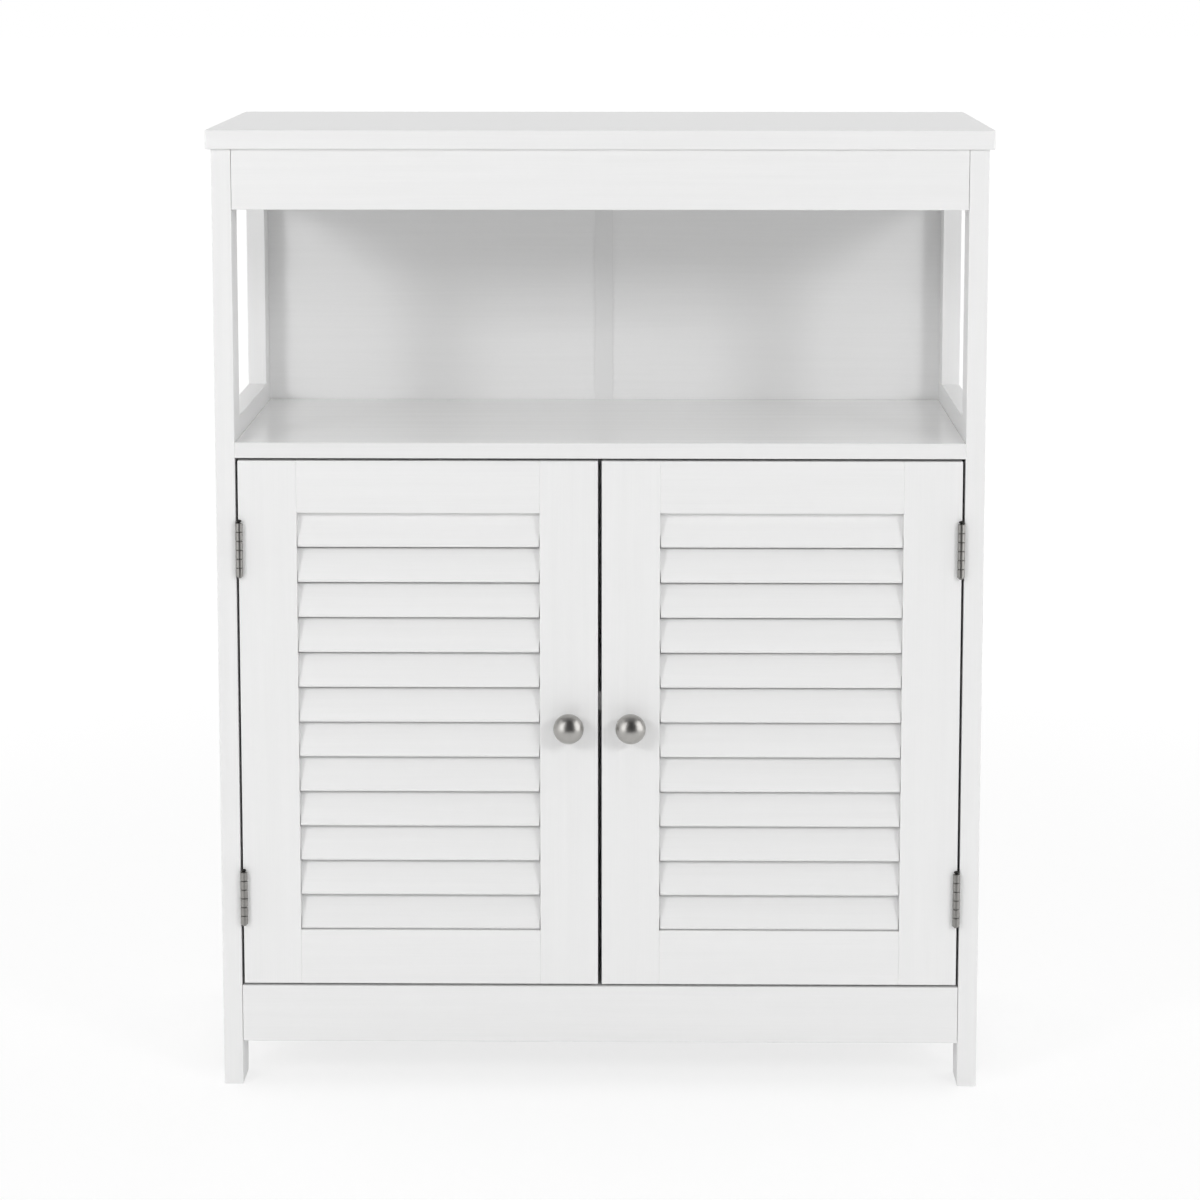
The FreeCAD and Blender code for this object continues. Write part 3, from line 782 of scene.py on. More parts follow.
def louvre_tree() -> Tree:
    """A ladder of leaning slats with rounded noses and thin gaps beside the stiles.

    Returns:
        The tree, which needs no input geometry.
    """
    graph = new_shape_tree("louvre_slats", {
        Kind.COUNT: ["Slat Count"],
        Kind.SIZE: ["Slat Pitch", "Slat Length", "Slat Width", "Slat Thickness", "Nose Radius",
                    "Edge Radius", "Slot Depth", "Left Gap", "Right Gap", "Gap Height", "Tilt", "Tilt Play"],
        Kind.PLACE: ["First Slat"]})
    given = graph.given
    bar = graph.bar(slat_section(graph), given["Slat Length"])
    middle = graph.transformed(bar, graph.place(z=graph.scaled(given["Slat Length"], -0.5)))
    lying = graph.transformed(middle, turn=(0, math.pi / 2, 0))
    ends = {"Left Gap": -1, "Right Gap": 1}
    slat = graph.without(lying, [slat_end_gap(graph, end, given[gap]) for gap, end in ends.items()])
    places = graph.row(given["Slat Count"], given["First Slat"], given["Slat Pitch"])
    least = graph.math("SUBTRACT", given["Tilt"], given["Tilt Play"])
    most = graph.math("ADD", given["Tilt"], given["Tilt Play"])
    lean = graph.add("FunctionNodeRandomValue", {2: least, 3: most, "Seed": LEAN_SEED}, data_type="FLOAT")
    return graph.close(graph.copies(places, slat, graph.place(x=lean.outputs[1])))


def screw_head(graph: ShapeGraph) -> Socket:
    """The cone of a screw's head, with its cross recess.

    Args:
        graph: The screws' graph.

    Returns:
        The head's mesh, whose face lies at Z = 0.
    """
    given = graph.given
    head = graph.cone(given["Head Radius"], given["Seat Radius"], given["Head Height"], -1.0)
    depth = graph.scaled(given["Recess Depth"], 2.0)
    span, width = given["Recess Span"], given["Recess Width"]
    return graph.without(head, [graph.block(span, width, depth), graph.block(width, span, depth)])


def screw_shank(graph: ShapeGraph) -> list[Socket]:
    """The core of a screw and its thread.

    Args:
        graph: The screws' graph.

    Returns:
        The meshes of both, below the head.
    """
    given = graph.given
    length = graph.math("SUBTRACT", given["Length"], given["Head Height"])
    inputs = {"Vertices": CORE_SIDES, "Radius": given["Core Radius"], "Depth": length}
    rod = graph.result("GeometryNodeMeshCylinder", inputs)
    middle = graph.scaled(graph.math("ADD", given["Length"], given["Head Height"]), -0.5)
    ridge = graph.math("SUBTRACT", given["Thread Radius"], given["Core Radius"])
    inputs = {"Resolution": THREAD_STEPS, "Rotations": given["Turns"],
              "Start Radius": given["Core Radius"], "End Radius": given["Core Radius"],
              "Height": graph.scaled(length, THREAD_SHARE)}
    helix = graph.result("GeometryNodeCurveSpiral", inputs)
    wedge = graph.result("GeometryNodeCurvePrimitiveCircle", {"Resolution": 3, "Radius": ridge})
    foot = graph.scaled(given["Length"], -THREAD_FOOT_SHARE)
    return [graph.transformed(rod, graph.place(z=middle)),
            graph.transformed(graph.swept(helix, wedge), graph.place(z=foot))]


def screw_tree() -> Tree:
    """Screws with a cross recess, one at each vertex, driven along its "drive" vector.

    Returns:
        The tree, whose input geometry is the points of the heads.
    """
    graph = new_shape_tree("cross_screws", {
        Kind.SIZE: ["Head Radius", "Seat Radius", "Head Height", "Core Radius", "Thread Radius", "Length",
                    "Turns", "Recess Span", "Recess Width", "Recess Depth"]})
    screw = graph.joined([screw_head(graph), *screw_shank(graph)])
    drive = graph.result("GeometryNodeInputNamedAttribute", {"Name": "drive"}, data_type="FLOAT_VECTOR")
    upward = graph.vector("MULTIPLY", drive, (-1, -1, -1))
    aim = graph.result("FunctionNodeAlignRotationToVector", {"Vector": upward}, axis="Z")
    placed = graph.copies(graph.given["Geometry"], screw, aim)
    chance = graph.result("FunctionNodeRandomValue", {0: (0, 0, 0), 1: (0, 0, math.pi), "Seed": TURN_SEED},
                          data_type="FLOAT_VECTOR")
    inputs = {"Instances": placed, "Rotation": chance, "Local Space": True}
    return graph.close(graph.result("GeometryNodeRotateInstances", inputs))


def hinge_leaf_tree() -> Tree:
    """A leaf with countersunk holes and its share of rolled knuckles.

    Its frame has X outwards from the barrel's axis, Y back and Z up from the barrel's foot.

    Returns:
        The tree, whose input geometry is one knuckle standing on Z = 0.
    """
    graph = new_shape_tree("butt_hinge_leaf", {
        Kind.COUNT: ["Knuckle Count"],
        Kind.SIZE: ["Knuckle Spacing", "First Knuckle", "Leaf Height", "Leaf Depth", "Leaf Thickness",
                    "Corner Radius", "Hole Places", "Hole Mouth", "Hole Throat", "Mouth Turn"],
        Kind.PLACE: ["Leaf Start", "Hole Centre"]})
    given = graph.given
    section = graph.rounded(given["Leaf Depth"], given["Leaf Height"], given["Corner Radius"],
                            LEAF_CORNER_STEPS)
    bar = graph.bar(section, given["Leaf Thickness"])
    plate = graph.transformed(bar, given["Leaf Start"], (math.pi / 2, 0, math.pi / 2))
    depth = graph.scaled(given["Leaf Thickness"], HOLE_DEPTH_SHARE)
    cone = graph.cone(given["Hole Mouth"], given["Hole Throat"], depth, -0.5)
    turn = graph.place(y=given["Mouth Turn"])
    lifts = [graph.place(z=graph.scaled(given["Hole Places"], share)) for share in (-0.5, 0.5)]
    holes = [graph.vector("ADD", lift, given["Hole Centre"]) for lift in lifts]
    drilled = graph.without(plate, [graph.transformed(cone, hole, turn) for hole in holes])
    start = graph.place(z=given["First Knuckle"])
    places = graph.row(given["Knuckle Count"], start, given["Knuckle Spacing"])
    return graph.close(graph.joined([drilled, graph.copies(places, given["Geometry"])]))


# ---- Meshes -------------------------------------------------------------------------------
def new_object(name: str, data: Any) -> bpy.types.Object:
    """Puts a mesh, a lamp or a camera into the scene.

    Args:
        name: The object's name.
        data: What it shows.

    Returns:
        The object, at the origin.
    """
    thing = bpy.data.objects.new(name, data)
    bpy.context.scene.collection.objects.link(thing)
    return thing


def mesh_of(shape: Shape, name: str, finish: Material | None = None) -> bpy.types.Mesh:
    """Turns a bmesh into a clean mesh with its faces outwards.

    Args:
        shape: The bmesh, which is freed.
        name: The mesh's name.
        finish: Its material.

    Returns:
        The mesh.
    """
    bmesh.ops.remove_doubles(shape, verts=shape.verts, dist=WELD_DISTANCE)
    bmesh.ops.dissolve_degenerate(shape, edges=shape.edges, dist=SLIVER_LENGTH)
    bmesh.ops.recalc_face_normals(shape, faces=shape.faces)
    mesh = bpy.data.meshes.new(name)
    shape.to_mesh(mesh)
    shape.free()
    mesh.shade_smooth()
    mesh.set_sharp_from_angle(angle=SMOOTH_BELOW)
    if finish is not None:
        mesh.materials.append(finish)
    return mesh


def grown(tree: Tree, values: dict[str, Any], seed: bpy.types.Mesh | None = None) -> Shape:
    """Runs a shape tree once.

    Args:
        tree: The tree.
        values: The value of each of its inputs, by name.
        seed: The input geometry, if the tree takes one.

    Returns:
        The evaluated geometry.
    """
    host = new_object("host", seed or bpy.data.meshes.new("host"))
    modifier = host.modifiers.new("shape", "NODES")
    modifier.node_group = tree
    for item in tree.interface.items_tree:
        if item.item_type == "SOCKET" and item.in_out == "INPUT" and item.name in values:
            modifier[item.identifier] = values[item.name]
    evaluated = host.evaluated_get(bpy.context.evaluated_depsgraph_get())
    result = bpy.data.meshes.new_from_object(evaluated)
    shape = bmesh.new()
    shape.from_mesh(result)
    bpy.data.objects.remove(host)
    bpy.data.meshes.remove(result)
    return shape


def join(shapes: Iterable[Shape]) -> Shape:
    """Collects several bmeshes in one.

    Args:
        shapes: The bmeshes, which are freed.

    Returns:
        The collected bmesh.
    """
    whole = bmesh.new()
    for shape in shapes:
        part = bpy.data.meshes.new("part")
        shape.to_mesh(part)
        shape.free()
        whole.from_mesh(part)
        bpy.data.meshes.remove(part)
    return whole


def arc(centre: Point, radii: Point, start: float, end: float, steps: int) -> list[Point]:
    """Points of an elliptical arc.

    Args:
        centre: The ellipse's centre.
        radii: Its two half sizes.
        start: The first angle, in degrees.
        end: The last angle, in degrees.
        steps: How many parts the arc has.

    Returns:
        The points, both ends among them.
    """
    angles = [math.radians(start + (end - start) * i / steps) for i in range(steps + 1)]
    return [(centre[0] + radii[0] * math.cos(a), centre[1] + radii[1] * math.sin(a)) for a in angles]


def skin(shape: Shape, rings: Sequence[Sequence[bmesh.types.BMVert]]) -> None:
    """Closes the sides between rings of vertices.

    Args:
        shape: The bmesh that has the vertices.
        rings: The rings in order. A ring on the axis is a single vertex.
    """
    for lower, upper in zip(rings, rings[1:]):
        count = max(len(lower), len(upper))
        for i in range(count):
            j = (i + 1) % count
            corners = [lower[i % len(lower)], lower[j % len(lower)],
                       upper[j % len(upper)], upper[i % len(upper)]]
            unique = list(dict.fromkeys(corners))
            if len(unique) > 2:
                shape.faces.new(unique)


def lathe(outline: Sequence[Point], sides: int) -> Shape:
    """Turns an outline about Z.

    Args:
        outline: Radius and height of each point, from one end of the axis to the other.
        sides: How many faces there are round the axis.

    Returns:
        The closed shape.
    """
    shape = bmesh.new()
    angles = [2 * math.pi * i / sides for i in range(sides)]
    rings = []
    for radius, height in outline:
        spots = [(radius * math.cos(a), radius * math.sin(a), height) for a in angles]
        if radius < AXIS_RADIUS:
            spots = [(0, 0, height)]
        rings.append([shape.verts.new(spot) for spot in spots])
    skin(shape, rings)
    return shape


def inset(outline: Sequence[Point], amount: float) -> list[Point]:
    """Moves a closed outline inwards.

    Args:
        outline: Its points, counter-clockwise.
        amount: How far each edge moves.

    Returns:
        The moved points. A very sharp corner moves less than its edges need.
    """
    points = []
    count = len(outline)
    for i, (x, y) in enumerate(outline):
        before = Vector(outline[i]) - Vector(outline[i - 1])
        after = Vector(outline[(i + 1) % count]) - Vector(outline[i])
        first = Vector((-before.y, before.x)).normalized()
        second = Vector((-after.y, after.x)).normalized()
        middle = first + second
        reach = amount / max(SHARPEST_CORNER, middle.length_squared / 2)
        points.append((x + middle.x * reach, y + middle.y * reach))
    return points


def signed_area(outline: Sequence[Point]) -> float:
    """The area inside an outline, positive where it runs counter-clockwise."""
    pairs = zip(outline, [*outline[1:], outline[0]])
    return sum(a[0] * b[1] - b[0] * a[1] for a, b in pairs) / 2


def prism(outline: Sequence[Point], low: float, high: float, ease: float) -> Shape:
    """Raises an outline along Z, with both ends eased.

    Args:
        outline: The points of the section.
        low: The height of the foot.
        high: The height of the top.
        ease: The width of the slant round each end.

    Returns:
        The closed shape.
    """
    points = list(outline) if signed_area(outline) > 0 else list(reversed(outline))
    narrow = inset(points, ease)
    shape = bmesh.new()
    levels = [(narrow, low), (points, low + ease), (points, high - ease), (narrow, high)]
    rings = [[shape.verts.new((x, y, z)) for x, y in ring] for ring, z in levels]
    skin(shape, rings)
    shape.faces.new(list(reversed(rings[0])))
    shape.faces.new(rings[-1])
    return shape


def rounded_rectangle(half_x: float, half_y: float, radius: float, steps: int = 5) -> list[Point]:
    """The outline of a rectangle about the origin with rounded corners.

    Args:
        half_x: Half of its size along X.
        half_y: Half of its size along Y.
        radius: The radius of its corners.
        steps: How many parts each corner has.

    Returns:
        The points, counter-clockwise.
    """
    points: list[Point] = []
    for sx, sy, start in ((1, 1, 0), (-1, 1, 90), (-1, -1, 180), (1, -1, 270)):
        centre = (sx * (half_x - radius), sy * (half_y - radius))
        points += arc(centre, (radius, radius), start, start + 90, steps)
    return points


def back_middle(node: str, proud: float = 0.0) -> Vector:
    """The middle of a node's back face, or a point that lies proud of it."""
    low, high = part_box(node)
    return Vector(((low.x + high.x) / 2, high.y + proud, (low.z + high.z) / 2))


def turned_at(centre: Sequence[float], degrees: float, axis: str) -> Matrix:
    """A turn about one axis, followed by a move to a centre."""
    return Matrix.Translation(centre) @ Matrix.Rotation(math.radians(degrees), 4, axis)


def moved(shape: Shape, matrix: Matrix) -> Shape:
    """Places a bmesh and returns it."""
    bmesh.ops.transform(shape, matrix=matrix, verts=shape.verts)
    return shape


def add_piece(shape: Shape, name: str, finish: Material, body: str, slot: Slot,
              nodes: Sequence[str] = ()) -> None:
    """Makes a piece that rides on its body and stands for its nodes.

    Args:
        shape: The finished shape, which is freed.
        name: The piece's name.
        finish: Its material.
        body: The CAD body that it moves with.
        slot: The record's slot of its finish. It is not used.
        nodes: The CAD nodes that it stands for.
    """
    piece = new_object(name, mesh_of(shape, name, finish))
    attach(piece, body)
    if nodes:
        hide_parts(*nodes)
    LOG.info("%s rides on %s, %d faces", piece.name, body, len(piece.data.polygons))


# ---- Boards -------------------------------------------------------------------------------
def dress_node(node: bpy.types.Object, finish: Material) -> None:
    """Puts a finish into every material slot of a CAD node.

    Args:
        node: The node's object, which keeps its shape.
        finish: The material.
    """
    if not node.material_slots:
        node.data.materials.append(finish)
    for material_slot in node.material_slots:
        material_slot.material = finish
    LOG.info("%s keeps its shape and wears %s", node.name, finish.name)


@dataclass
class PaintedBoards:
    """The boards of the case and the doors, which keep the shapes of the frame."""

    finishes: Finishes
    glossy: str = "open_shelf"
    across: tuple[str, ...] = ("top_board", "top_front_rail", "bottom_front_rail", "bottom_board",
                               "inner_shelf")
    side_upright: tuple[str, ...] = ("front_post", "back_post", "side_panel", "door_latch_stile",
                                     "door_hinge_stile")
    side_across: tuple[str, ...] = ("door_bottom_rail", "door_top_rail")
    side_deep: tuple[str, ...] = ("side_rail",)

    def grains(self) -> dict[str, Grain]:
        """Sorts the painted boards by their grain.

        Returns:
            The grain of each board, by its node's name.
        """
        found = {node: Grain.ACROSS for node in self.across}
        kinds = {Grain.UPRIGHT: self.side_upright, Grain.ACROSS: self.side_across,
                 Grain.DEEP: self.side_deep}
        for side in Side:
            for grain, words in kinds.items():
                found.update({f"{side.word}_{word}": grain for word in words})
        return found

    def dress(self, nodes: dict[str, bpy.types.Object]) -> None:
        """Paints the boards along their grain, and the open shelf with the glossier paint.

        Args:
            nodes: The frame's objects by the names of their nodes.
        """
        dress_node(nodes[self.glossy], self.finishes.gloss)
        for name, grain in self.grains().items():
            dress_node(nodes[name], self.finishes.paint[grain])


@dataclass
class HiddenFittings:
    """Panels, strips and joint fittings that keep the shapes of the frame."""

    finishes: Finishes
    fittings: tuple[tuple[Slot, tuple[str, ...]], ...] = (
        (Slot.BACK, ("left_back_panel", "right_back_panel")), (Slot.STRIP, ("back_joint_strip",)),
        (Slot.ZINC, ("cam_bolts", "cam_discs")), (Slot.BEECH, ("dowels",)))

    def dress(self, nodes: dict[str, bpy.types.Object]) -> None:
        """Gives each node its finish.

        Args:
            nodes: The frame's objects by the names of their nodes.
        """
        for slot, names in self.fittings:
            for name in names:
                dress_node(nodes[name], self.finishes.other[slot])


# ---- Louvres ------------------------------------------------------------------------------
@dataclass
class Louvres:
    """The leaning slats of one door."""

    side: Side
    finish: Material
    count: int = 12
    thickness: float = 5.0 * MM
    tilt: float = math.radians(18.0)
    tilt_play: float = math.radians(0.12)
    nose_radius: float = 2.3 * MM
    edge_radius: float = 0.8 * MM
    slot_depth: float = 6.0 * MM
    latch_gap: float = 0.45 * MM
    hinge_gap: float = 0.22 * MM
    gap_height: float = 9.0 * MM
    nose_drop: float = 1.0 * MM

    def build(self, tree: Tree) -> None:
        """Grows the slats of the frame, the lowest with its nose behind the rail's upper edge.

        Args:
            tree: The slats' shape tree.
        """
        node = f"{self.side.door}_slats"
        low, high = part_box(node)
        reach = high.y - low.y
        width = (reach - self.thickness * math.cos(self.tilt)) / math.sin(self.tilt)
        rise = width * math.cos(self.tilt) + self.thickness * math.sin(self.tilt)
        first = low.z + rise / 2 - self.nose_drop
        pitch = (high.z - rise / 2 - first) / (self.count - 1)
        gaps = (self.hinge_gap, self.latch_gap)
        left_gap, right_gap = gaps if self.side is Side.LEFT else reversed(gaps)
        values = {"Slat Count": self.count, "Slat Pitch": pitch, "Slat Length": high.x - low.x,
                  "Slat Width": width, "Slat Thickness": self.thickness,
                  "Nose Radius": self.nose_radius, "Edge Radius": self.edge_radius,
                  "Slot Depth": self.slot_depth, "Left Gap": left_gap, "Right Gap": right_gap,
                  "Gap Height": self.gap_height, "Tilt": -self.tilt, "Tilt Play": self.tilt_play,
                  "First Slat": ((low.x + high.x) / 2, (low.y + high.y) / 2, first),
                  "Finish": self.finish}
        add_piece(grown(tree, values), f"{self.side.word}_louvre_slats", self.finish, self.side.door,
                  Slot.PAINT, [node])


# ---- Screws -------------------------------------------------------------------------------
@dataclass(frozen=True)
class ScrewSize:
    """Sizes of a cross-head screw. The head is a cone between its face and its seat."""

    head_radius: float
    seat_radius: float
    head_height: float
    core_radius: float
    thread_radius: float
    length: float
    turns: float
    span_share: float = 1.15
    width_share: float = 0.27
    depth_share: float = 0.6

    def values(self, finish: Material) -> dict[str, Any]:
        """The inputs of the screws' shape tree.

        Args:
            finish: The screws' material.

        Returns:
            The value of each input by name. The recess takes its shares of the head's sizes.
        """
        return {"Head Radius": self.head_radius, "Seat Radius": self.seat_radius,
                "Head Height": self.head_height, "Core Radius": self.core_radius,
                "Thread Radius": self.thread_radius, "Length": self.length, "Turns": self.turns,
                "Recess Span": self.head_radius * self.span_share,
                "Recess Width": self.head_radius * self.width_share,
                "Recess Depth": self.head_height * self.depth_share, "Finish": finish}


HINGE_SCREW = ScrewSize(2.65 * MM, 1.3 * MM, 1.35 * MM, 0.95 * MM, 1.3 * MM, 11 * MM, 8.0)
CATCH_SCREW = ScrewSize(2.45 * MM, 1.2 * MM, 1.25 * MM, 0.9 * MM, 1.25 * MM, 20 * MM, 12.0)
STRIKE_SCREW = ScrewSize(1.95 * MM, 1.2 * MM, 0.75 * MM, 0.9 * MM, 1.25 * MM, 9 * MM, 6.0)
KNOB_SCREW = ScrewSize(3.5 * MM, 4.0 * MM, 2.4 * MM, 1.75 * MM, 2.0 * MM, 25.4 * MM, 24.0)


@dataclass
class ScrewSet:
    """Screws of one size that ride on one body."""

    name: str
    body: str
    node: str
    size: ScrewSize
    slot: Slot
    places: Drives

    def build(self, tree: Tree, finish: Material) -> None:
        """Grows the screws at their places.

        Args:
            tree: The screws' shape tree.
            finish: Their material.
        """
        points = bpy.data.meshes.new("places")
        points.from_pydata([tuple(place) for place, _ in self.places], [], [])
        drive = points.attributes.new("drive", "FLOAT_VECTOR", "POINT")
        for i, (_, run) in enumerate(self.places):
            drive.data[i].vector = run
        shape = grown(tree, self.size.values(finish), points)
        add_piece(shape, self.name, finish, self.body, self.slot, [self.node])


# ---- Knobs --------------------------------------------------------------------------------
@dataclass
class Knob:
    """A turned knob: foot, waist and a rounded head."""

    side: Side
    reach: float = 24.0 * MM
    head_radius: float = 11.75 * MM
    dome_height: float = 9.5 * MM
    foot_radius: float = 7.0 * MM
    foot_height: float = 1.2 * MM
    foot_ease: float = 0.3 * MM
    waist_radius: float = 4.4 * MM
    waist_height: float = 4.5 * MM
    sides: int = 96

    def outline(self) -> list[Point]:
        """The turned shape, from the door to the tip.

        Returns:
            Radius and height of each point. The arcs' angles count from straight outwards.
        """
        equator = self.reach - self.dome_height
        head_back = self.foot_height + self.waist_height
        ease = self.foot_ease
        foot = self.foot_radius - ease
        rim = arc((foot, ease), (ease, ease), -90, 0, 4)
        rim += arc((foot, self.foot_height - ease), (ease, ease), 0, 60, 3)
        waist = arc((foot, head_back), (foot - self.waist_radius, self.waist_height), 265, 180, 10)
        under = arc((self.waist_radius, equator),
                    (self.head_radius - self.waist_radius, equator - head_back), -82, 0, 18)
        dome = arc((0, equator), (self.head_radius, self.dome_height), 3, 87, 24)
        return [(0.0, 0.0), *rim, *waist, *under, *dome, (0.0, self.reach)]

    def build(self) -> None:
        """Turns the knob where the frame has it."""
        node = f"{self.side.word}_knob"
        axis = back_middle(node)
        finish = NickelFinish(f"satin_nickel_{node}", tuple(axis)).material()
        shape = moved(lathe(self.outline(), self.sides), turned_at(axis, 90, "X"))
        add_piece(shape, f"{self.side.door}_knob", finish, self.side.door, Slot.NICKEL, [node])

    def screw(self) -> ScrewSet:
        """The screw behind the knob, driven through the door from its back."""
        word, node = self.side.word, f"{self.side.word}_knob_screw"
        return ScrewSet(f"{word}_knob_fixing_screw", self.side.door, node, KNOB_SCREW, Slot.ZINC,
                        [(back_middle(node), Vector((0, -1, 0)))])


# ---- Hinges -------------------------------------------------------------------------------
@dataclass
class ButtHinge:
    """A butt hinge with rolled knuckles, a pin with a finial, and two screws in each leaf."""

    side: Side
    level: str
    knuckle_count: int = 6
    knuckle_radius: float = 2.8 * MM
    knuckle_gap: float = 0.36 * MM
    knuckle_ease: float = 0.28 * MM
    bore_radius: float = 1.55 * MM
    roll_steps: int = 44
    bore_steps: int = 36
    leaf_thickness: float = 0.9 * MM
    leaf_gap: float = 0.2 * MM
    leaf_clearance: float = 0.2 * MM
    corner_radius: float = 1.6 * MM
    hole_places: float = 24.0 * MM
    hole_mouth: float = 2.85 * MM
    hole_throat: float = 1.45 * MM
    screw_sunk: float = 0.06 * MM
    lip_gap: float = 0.08 * MM
    lip_rise: float = 0.3 * MM
    pin_radius: float = 1.45 * MM
    tip_height: float = 1.2 * MM
    tip_flat_share: float = 0.55
    tip_round: float = 0.35 * MM
    collar_share: float = 0.92
    collar_height: float = 0.15 * MM
    collar_slant: float = 0.05 * MM
    finial_radius: float = 2.0 * MM
    finial_height: float = 2.6 * MM
    finial_gap: float = 0.02 * MM
    neck_share: float = 0.62
    neck_height: float = 0.3 * MM
    root: Vector = field(init=False)
    height: float = field(init=False)
    leaf_back: float = field(init=False)

    def __post_init__(self) -> None:
        """Reads the barrel's place and the leaves' reach from the frame."""
        low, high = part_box(self.node("pin"))
        leaf_low, leaf_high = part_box(self.node("case_leaf"))
        self.root = Vector(((low.x + high.x) / 2, (low.y + high.y) / 2, leaf_low.z))
        self.height = leaf_high.z - leaf_low.z
        self.leaf_back = leaf_high.y - self.root.y

    @property
    def leaf_front(self) -> float:
        """How far behind the barrel's axis the flat of a leaf begins."""
        return self.knuckle_radius + self.leaf_clearance

    def node(self, part: str) -> str:
        """The name of one of this hinge's CAD nodes."""
        return f"{self.side.word}_{self.level}_hinge_{part}"

    def near_far(self, part: str) -> Point:
        """How far a leaf's two faces lie outwards from the barrel's axis.

        Args:
            part: The leaf's word in the CAD node's name.

        Returns:
            The places of its inner and its outer face.
        """
        far = self.knuckle_radius
        if part == "door_leaf":
            far -= self.leaf_thickness + self.leaf_gap
        return far - self.leaf_thickness, far

    def rolled_outline(self, near: float, far: float) -> list[Point]:
        """The section of a knuckle: the leaf comes in from behind and rolls about the pin.

        Args:
            near: The leaf's inner face, outwards from the axis.
            far: The leaf's outer face.

        Returns:
            The closed outline, X outwards and Y back.
        """
        outer, bore = self.knuckle_radius, self.bore_radius
        start = math.degrees(math.acos(min(1.0, far / outer)))
        lip = math.degrees(math.acos((near - self.lip_gap) / outer)) - 360
        roll = arc((0, 0), (outer, outer), start, lip, self.roll_steps)
        inner_end = math.degrees(math.acos(near / bore)) if near < bore else 0.0
        back = arc((0, 0), (bore, bore), lip, inner_end, self.bore_steps)
        ends = [(near, self.leaf_front)]
        if near > bore:
            ends.insert(0, (near, back[-1][1] + self.lip_rise))
        return [(far, self.leaf_front), *roll, *back, *ends]

    def leaf(self, part: str, first: int, tree: Tree, finish: Material) -> Shape:
        """Makes one leaf with its knuckles, in the hinge's own frame.

        Args:
            part: The leaf's word in the CAD node's name.
            first: The number of its lowest knuckle, counted from the foot.
            tree: The leaves' shape tree.
            finish: The hinge's material.

        Returns:
            The leaf, with X outwards from the axis.
        """
        near, far = self.near_far(part)
        pitch = self.height / self.knuckle_count
        tall = pitch - self.knuckle_gap
        knuckle = mesh_of(prism(self.rolled_outline(near, far), 0, tall, self.knuckle_ease), "knuckle")
        depth = self.leaf_back - self.leaf_front
        middle_y, middle_z = self.leaf_front + depth / 2, self.height / 2
        values = {"Knuckle Count": self.knuckle_count // 2, "Knuckle Spacing": 2 * pitch,
                  "First Knuckle": first * pitch + self.knuckle_gap / 2,
                  "Leaf Height": self.height, "Leaf Depth": depth,
                  "Leaf Thickness": self.leaf_thickness, "Corner Radius": self.corner_radius,
                  "Leaf Start": (near, middle_y, middle_z),
                  "Hole Places": self.hole_places, "Hole Centre": ((near + far) / 2, middle_y, middle_z),
                  "Hole Mouth": self.hole_mouth, "Hole Throat": self.hole_throat,
                  "Mouth Turn": -math.pi / 2 if part == "case_leaf" else math.pi / 2, "Finish": finish}
        return grown(tree, values, knuckle)

    def pin(self) -> Shape:
        """The pin, with a collar and a small tip below the barrel.

        Returns:
            The pin in the hinge's own frame.
        """
        flat = self.pin_radius * self.tip_flat_share
        tip = arc((flat, self.tip_round - self.tip_height), (self.pin_radius - flat, self.tip_round),
                  -90, 0, 5)
        rim = self.finial_radius * self.collar_share
        collar = [(rim, -self.collar_height), (rim, 0.0), (self.pin_radius, self.collar_slant),
                  (self.pin_radius, self.height), (0.0, self.height)]
        return lathe([(0.0, -self.tip_height), *tip, *collar], ROUND_SIDES)

    def finial(self) -> Shape:
        """The domed cap on the pin's upper end.

        Returns:
            The cap in the hinge's own frame.
        """
        base = self.height + self.finial_gap
        neck = self.finial_radius * self.neck_share
        neck_top = self.height + self.neck_height
        bulb_half = (self.finial_height - self.neck_height) / 2
        bulb = arc((0, neck_top + bulb_half), (self.finial_radius, bulb_half), -58, 86, 18)
        top = (0.0, self.height + self.finial_height)
        return lathe([(0.0, base), (neck, base), (neck, neck_top), *bulb, top], ROUND_SIDES)

    def place(self) -> Matrix:
        """Takes the hinge's own frame to its place on this side."""
        return Matrix.Translation(self.root) @ Matrix.Diagonal((self.side.value, 1, 1, 1))

    def build(self, tree: Tree, finish: Material, cap: Material) -> None:
        """Builds the half on the case with the pin, the half on the door, and the cap.

        Args:
            tree: The leaves' shape tree.
            finish: The hinge's material.
            cap: The cap's material.
        """
        case_half = join([self.leaf("case_leaf", 1, tree, finish), self.pin()])
        door_half = self.leaf("door_leaf", 0, tree, finish)
        parts = {"case_half": (case_half, finish, "case", ("case_leaf", "pin")),
                 "door_half": (door_half, finish, self.side.door, ("door_leaf",)),
                 "finial": (self.finial(), cap, "case", ())}
        for word, (shape, material, body, nodes) in parts.items():
            add_piece(moved(shape, self.place()), self.node(word), material, body, Slot.NICKEL,
                      [self.node(node) for node in nodes])

    def screw_places(self, part: str) -> Drives:
        """Places the screws of one leaf.

        Args:
            part: The leaf's word in the CAD node's name.

        Returns:
            Where the heads are and which way the screws are driven.
        """
        near, far = self.near_far(part)
        face, run = (near, 1.0) if part == "case_leaf" else (far, -1.0)
        middle = Vector((face, (self.leaf_front + self.leaf_back) / 2, self.height / 2))
        steps = (-self.hole_places / 2, self.hole_places / 2)
        drive = Vector((run * self.side.value, 0, 0))
        sunk = Vector((run * self.screw_sunk, 0, 0))
        return [(self.place() @ (middle + sunk + Vector((0, 0, step))), drive) for step in steps]


